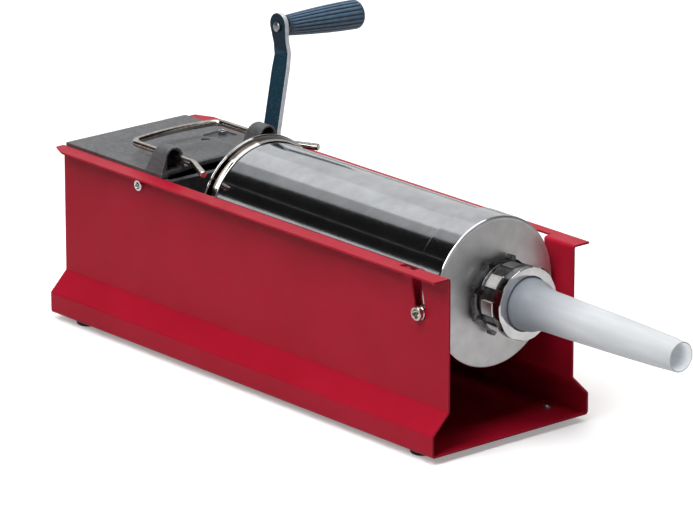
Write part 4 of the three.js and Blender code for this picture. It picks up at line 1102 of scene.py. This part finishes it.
def make_arm():
    """A flat bar, cut across at each step of its bends, chamfered, and then bent."""
    bm = bmesh.new()
    bm.faces.new([bm.verts.new((x, up, 0)) for x, up in arm_outline()])
    inner_line = arm_line()
    outer_line = offset(inner_line, -ARM_THICKNESS)
    for _, level in inner_line[1:-1]:
        whole = bm.verts[:] + bm.edges[:] + bm.faces[:]
        bmesh.ops.bisect_plane(bm, geom=whole, plane_co=(0, level, 0), plane_no=(0, 1, 0))
    made = bmesh.ops.extrude_face_region(bm, geom=bm.faces[:])
    for vertex in (v for v in made["geom"] if isinstance(v, bmesh.types.BMVert)):
        vertex.co.z = ARM_THICKNESS
    bmesh.ops.recalc_face_normals(bm, faces=bm.faces)
    rims = [e for e in bm.edges if len(e.link_faces) == 2 and e.calc_face_angle(0) > 1]
    bmesh.ops.bevel(bm, geom=rims, offset=ARM_CHAMFER, segments=2, affect="EDGES", profile=0.5)
    for face in bm.faces:
        # The sides and chamfers take the edge look: bare steel with a painted highlight.
        face.material_index = 0 if abs(face.normal.z) > 0.8 else 1
    for vertex in bm.verts:
        across, level, depth = vertex.co
        inner, outer = distance_out(inner_line, level), distance_out(outer_line, level)
        out = inner + (outer - inner) * (depth / ARM_THICKNESS)
        vertex.co = CRANK_FACE @ Vector((level, across, out))
    piece("arm_bar", bm, "crank_arm", looks=["crank_steel", "crank_edge_and_painted_highlight"])


def make_crank_screw():
    screw = Box("crank_screw")
    seat = arm.y0 + ARM_THICKNESS + 0.3
    place = facing((crank_at.x, seat, crank_at.z), (0, 1, 0), ARM_UP)
    cap_screw("crank_screw", 9, screw.y1 - seat, 3, 12, place)


make_hub()
make_arm()
make_crank_screw()

# -------- grip

GRIP_PLACE = facing(grip_at, grip_along, ARM_UP)
SPINDLE_RADIUS = 4
SPINDLE_HEAD = 5.2
WASHER = {"from": 5.3, "bore": 4.3, "radius": 10.4}
GRIP_FROM = 9
SPINDLE_END = GRIP_FROM + 80
GRIP_LENGTH = 99
GRIP_BORE = 4.5
GRIP_SMALL = 10.6
GRIP_SWELL = 4.7
GRIP_FLUTES = 20
GRIP_DEPTH = 0.9
GRIP_ROWS = 40


def make_spindle():
    """A spindle with a domed, slotted head behind the arm, and the washer before the grip."""
    slot_cutter = block(-0.8, 0.8, -9, 9, -5, -2)
    slot_cutter.transform(GRIP_PLACE)
    profile = [(-3.2, 0), (-3.1, 2), (-2.7, 4), (-1.9, SPINDLE_HEAD), (-0.3, SPINDLE_HEAD)]
    profile += [(-0.3, SPINDLE_RADIUS), (SPINDLE_END, SPINDLE_RADIUS), (SPINDLE_END, 0)]
    rings = filleted(profile, [0, 1, 0.8, 0.4, 0.3, 0.2, 0.3, 0], steps=3)
    spindle = reworked(turned(rings, GRIP_PLACE, 48), slot_cutter)
    piece("spindle_screw", spindle, "grip_spindle")
    rings = hoop(WASHER["from"], GRIP_FROM - 0.3, WASHER["bore"], WASHER["radius"], 0.5)
    piece("washer_ring", turned(rings, GRIP_PLACE, 64), "grip_washer")


def flute(angle):
    """1 in the middle of a flute and 0 on top of the rib between two."""
    return 0.5 + 0.5 * cos(GRIP_FLUTES * angle)


def fluted(plain, depth):
    """A radius with a broad rounded rib and a narrow groove, repeated round the grip."""
    return lambda angle: plain - depth * flute(angle) ** 2.2


def make_grip():
    end = GRIP_FROM + GRIP_LENGTH
    blind = SPINDLE_END + 4
    rings = [(blind, 0), (blind, GRIP_BORE), (GRIP_FROM, GRIP_BORE), (GRIP_FROM, GRIP_SMALL - 1.3)]
    for i in range(GRIP_ROWS + 1):
        t = i / GRIP_ROWS
        along = GRIP_FROM + 0.6 + t * (GRIP_LENGTH - 6.6)
        plain = GRIP_SMALL + GRIP_SWELL * sin(t * pi / 2)
        fade = min(t * 14, (1 - t) * 20, 1) ** 0.5
        rings.append((along, fluted(plain, GRIP_DEPTH * fade)))
    rings += [(end - 4.6, 15.0), (end - 3.2, 14.1), (end - 1.7, 12.0)]
    rings += [(end - 0.8, 8), (end - 0.4, 4), (end - 0.35, 0)]
    mark_flutes(piece("grip_handle", turned(rings, GRIP_PLACE, 320), "grip", sharp=60))


def mark_flutes(grip):
    """Stores how high each point of the grip stands, for the painted shade in the flutes."""
    to_grip = GRIP_PLACE.inverted() @ TO_ROW.inverted()
    values = []
    for vertex in grip.data.vertices:
        x, y, along = to_grip @ vertex.co
        inside = GRIP_FROM + 4 < along < GRIP_FROM + GRIP_LENGTH - 7
        values.append(1 - flute(atan2(y, x)) ** 1.5 if inside else 0.35)
    grip.data.attributes.new("raised", "FLOAT", "POINT").data.foreach_set("value", values)


make_spindle()
make_grip()

# -------- CAD nodes that stay


def dress_kept_nodes():
    for name, node in frame["nodes"].items():
        if node.hide_render:
            continue
        node.data.materials.clear()
        node.data.materials.append(material(SLOTS[name]))
        ease_edges(node, 0.25 * MM)


dress_kept_nodes()

# -------- studio

STUDIO_CENTRE = TO_ROW @ Vector((housing.x, 0, AXIS_Z))


def emitter(name, strength):
    glow = bpy.data.materials.new(name)
    glow.use_nodes = True
    tree = glow.node_tree
    tree.nodes.clear()
    light = tree.nodes.new("ShaderNodeEmission")
    light.inputs["Color"].default_value = (1, 1, 1, 1)
    light.inputs["Strength"].default_value = strength
    out = tree.nodes.new("ShaderNodeOutputMaterial")
    tree.links.new(light.outputs[0], out.inputs["Surface"])
    return glow


def direction(azimuth, elevation):
    """Azimuth is from -X towards +Y, and elevation is above the horizon, in degrees."""
    a, e = radians(azimuth), radians(elevation)
    return Vector((-cos(a) * cos(e), sin(a) * cos(e), sin(e)))


def one_face(name, corners, look):
    mesh = bpy.data.meshes.new(name)
    mesh.from_pydata(corners, [], [(0, 1, 2, 3)])
    mesh.materials.append(look)
    return add_object(name, mesh)


def panel(name, azimuths, elevations, strength, distance=10, lights=True):
    """A flat glowing reflector that fills a window of directions, hidden from the camera."""
    (a0, a1), (e0, e1) = azimuths, elevations
    window = ((a0, e0), (a1, e0), (a1, e1), (a0, e1))
    corners = [STUDIO_CENTRE + direction(*corner) * distance for corner in window]
    thing = one_face(name, corners, emitter(name, strength))
    thing.visible_camera = False
    thing.visible_diffuse = lights


FLOOR_HALF = 14  # metres
FLOOR_LIFT = (0.3, 0.9)  # its glow to the camera, near and far, to meet the white backdrop
FLOOR_FADE = (0.7, 3.0)  # how near and far that is, in metres
FLOOR_MIRRORED = 0.22  # its glow in the metal's reflections


def make_floor():
    look = Look("floor", Specular_IOR_Level=0.1, Roughness=0.7, Emission_Color=(1, 1, 1, 1))
    seen = look.node("ShaderNodeLightPath").outputs["Is Camera Ray"]
    mirrored = look.node("ShaderNodeLightPath").outputs["Is Glossy Ray"]
    bounce = look.mix(look.noise(400), (0.50, 0.50, 0.505), (0.54, 0.54, 0.545))
    look.colour(seen, bounce, (0.95, 0.95, 0.95))
    away = look.node("ShaderNodeVectorMath", {0: look.place}, operation="LENGTH").outputs["Value"]
    lift = look.math("MULTIPLY", seen, look.span(away, *FLOOR_LIFT, *FLOOR_FADE))
    mirror = look.span(mirrored, 0, FLOOR_MIRRORED, 0, 1)
    look.drive("Emission Strength", look.math("ADD", lift, mirror))
    corners = [(x * FLOOR_HALF, y * FLOOR_HALF, 0) for x, y in ((-1, -1), (1, -1), (1, 1), (-1, 1))]
    floor = one_face("floor", corners, look.material)


WORLD_DIM = 0.01


def make_world():
    """White to the camera, as a backdrop, and nearly dark to the object."""
    world = bpy.data.worlds.new("studio")
    bpy.context.scene.world = world
    world.use_nodes = True
    tree = world.node_tree
    back = tree.nodes["Background"]
    back.inputs["Color"].default_value = (1, 1, 1, 1)
    path = tree.nodes.new("ShaderNodeLightPath")
    level = tree.nodes.new("ShaderNodeMapRange")
    level.inputs[3].default_value = WORLD_DIM
    level.inputs[4].default_value = 1.0
    tree.links.new(path.outputs["Is Camera Ray"], level.inputs[0])
    tree.links.new(level.outputs[0], back.inputs["Strength"])


def softbox(name, towards, distance, size, energy):
    """An area light that faces the object from a direction."""
    lamp = bpy.data.lights.new(name, "AREA")
    lamp.shape = "RECTANGLE"
    lamp.size, lamp.size_y = size
    lamp.energy = energy
    away = Vector(towards).normalized()
    add_object(name, lamp).matrix_world = facing(STUDIO_CENTRE + away * distance, away, (0, 1, 0.1))


# The camera as fitted to the photo, in the script's millimetres and degrees.
CAMERA_FROM = (220.6, 17.545)  # azimuth and elevation, as for the panels
CAMERA_DISTANCE = 5324.2
CAMERA_SENSOR = 36
CAMERA_LENS = 281.257
CAMERA_AIM = (-280.8, 0, 84.24)
CAMERA_SHIFT = (26.37, 26.46)  # of the aim, right and up in the picture


def make_camera():
    away = direction(*CAMERA_FROM)
    right = UP.cross(away).normalized()
    above = away.cross(right)
    aim = Vector(CAMERA_AIM) + right * CAMERA_SHIFT[0] + above * CAMERA_SHIFT[1]
    data = bpy.data.cameras.new("camera")
    data.sensor_width = CAMERA_SENSOR
    data.lens = CAMERA_LENS
    data.clip_start = 0.1
    data.clip_end = 60
    camera = add_object("camera", data)
    place = Matrix.Translation(TO_ROW @ (aim + away * CAMERA_DISTANCE))
    camera.matrix_world = place @ Matrix((right, above, away)).transposed().to_4x4()
    bpy.context.scene.camera = camera


make_floor()
make_world()
softbox("key", (0.15, -0.57, 0.80), distance=2.8, size=(2.2, 1.4), energy=72)
softbox("overhead", (0, 0.1, 1), distance=2.5, size=(2.0, 2.0), energy=31)
panel("backdrop_low", (28, 80), (1, 62), 0.74)
panel("backdrop", (1, 28), (1, 62), 0.86)
panel("backdrop_edge", (-16, 1), (25, 62), 0.42)
panel("fine_line", (-39, -27), (30.2, 30.7), 0.18)
panel("low_strip", (-46, -37), (14.5, 18), 0.7)
panel("front_fill", (196, 256), (6, 58), 0.26, distance=9, lights=False)
panel("side_fill", (134, 194), (6, 58), 0.30, distance=9, lights=False)
make_camera()
bpy.context.scene.view_settings.view_transform = "Standard"
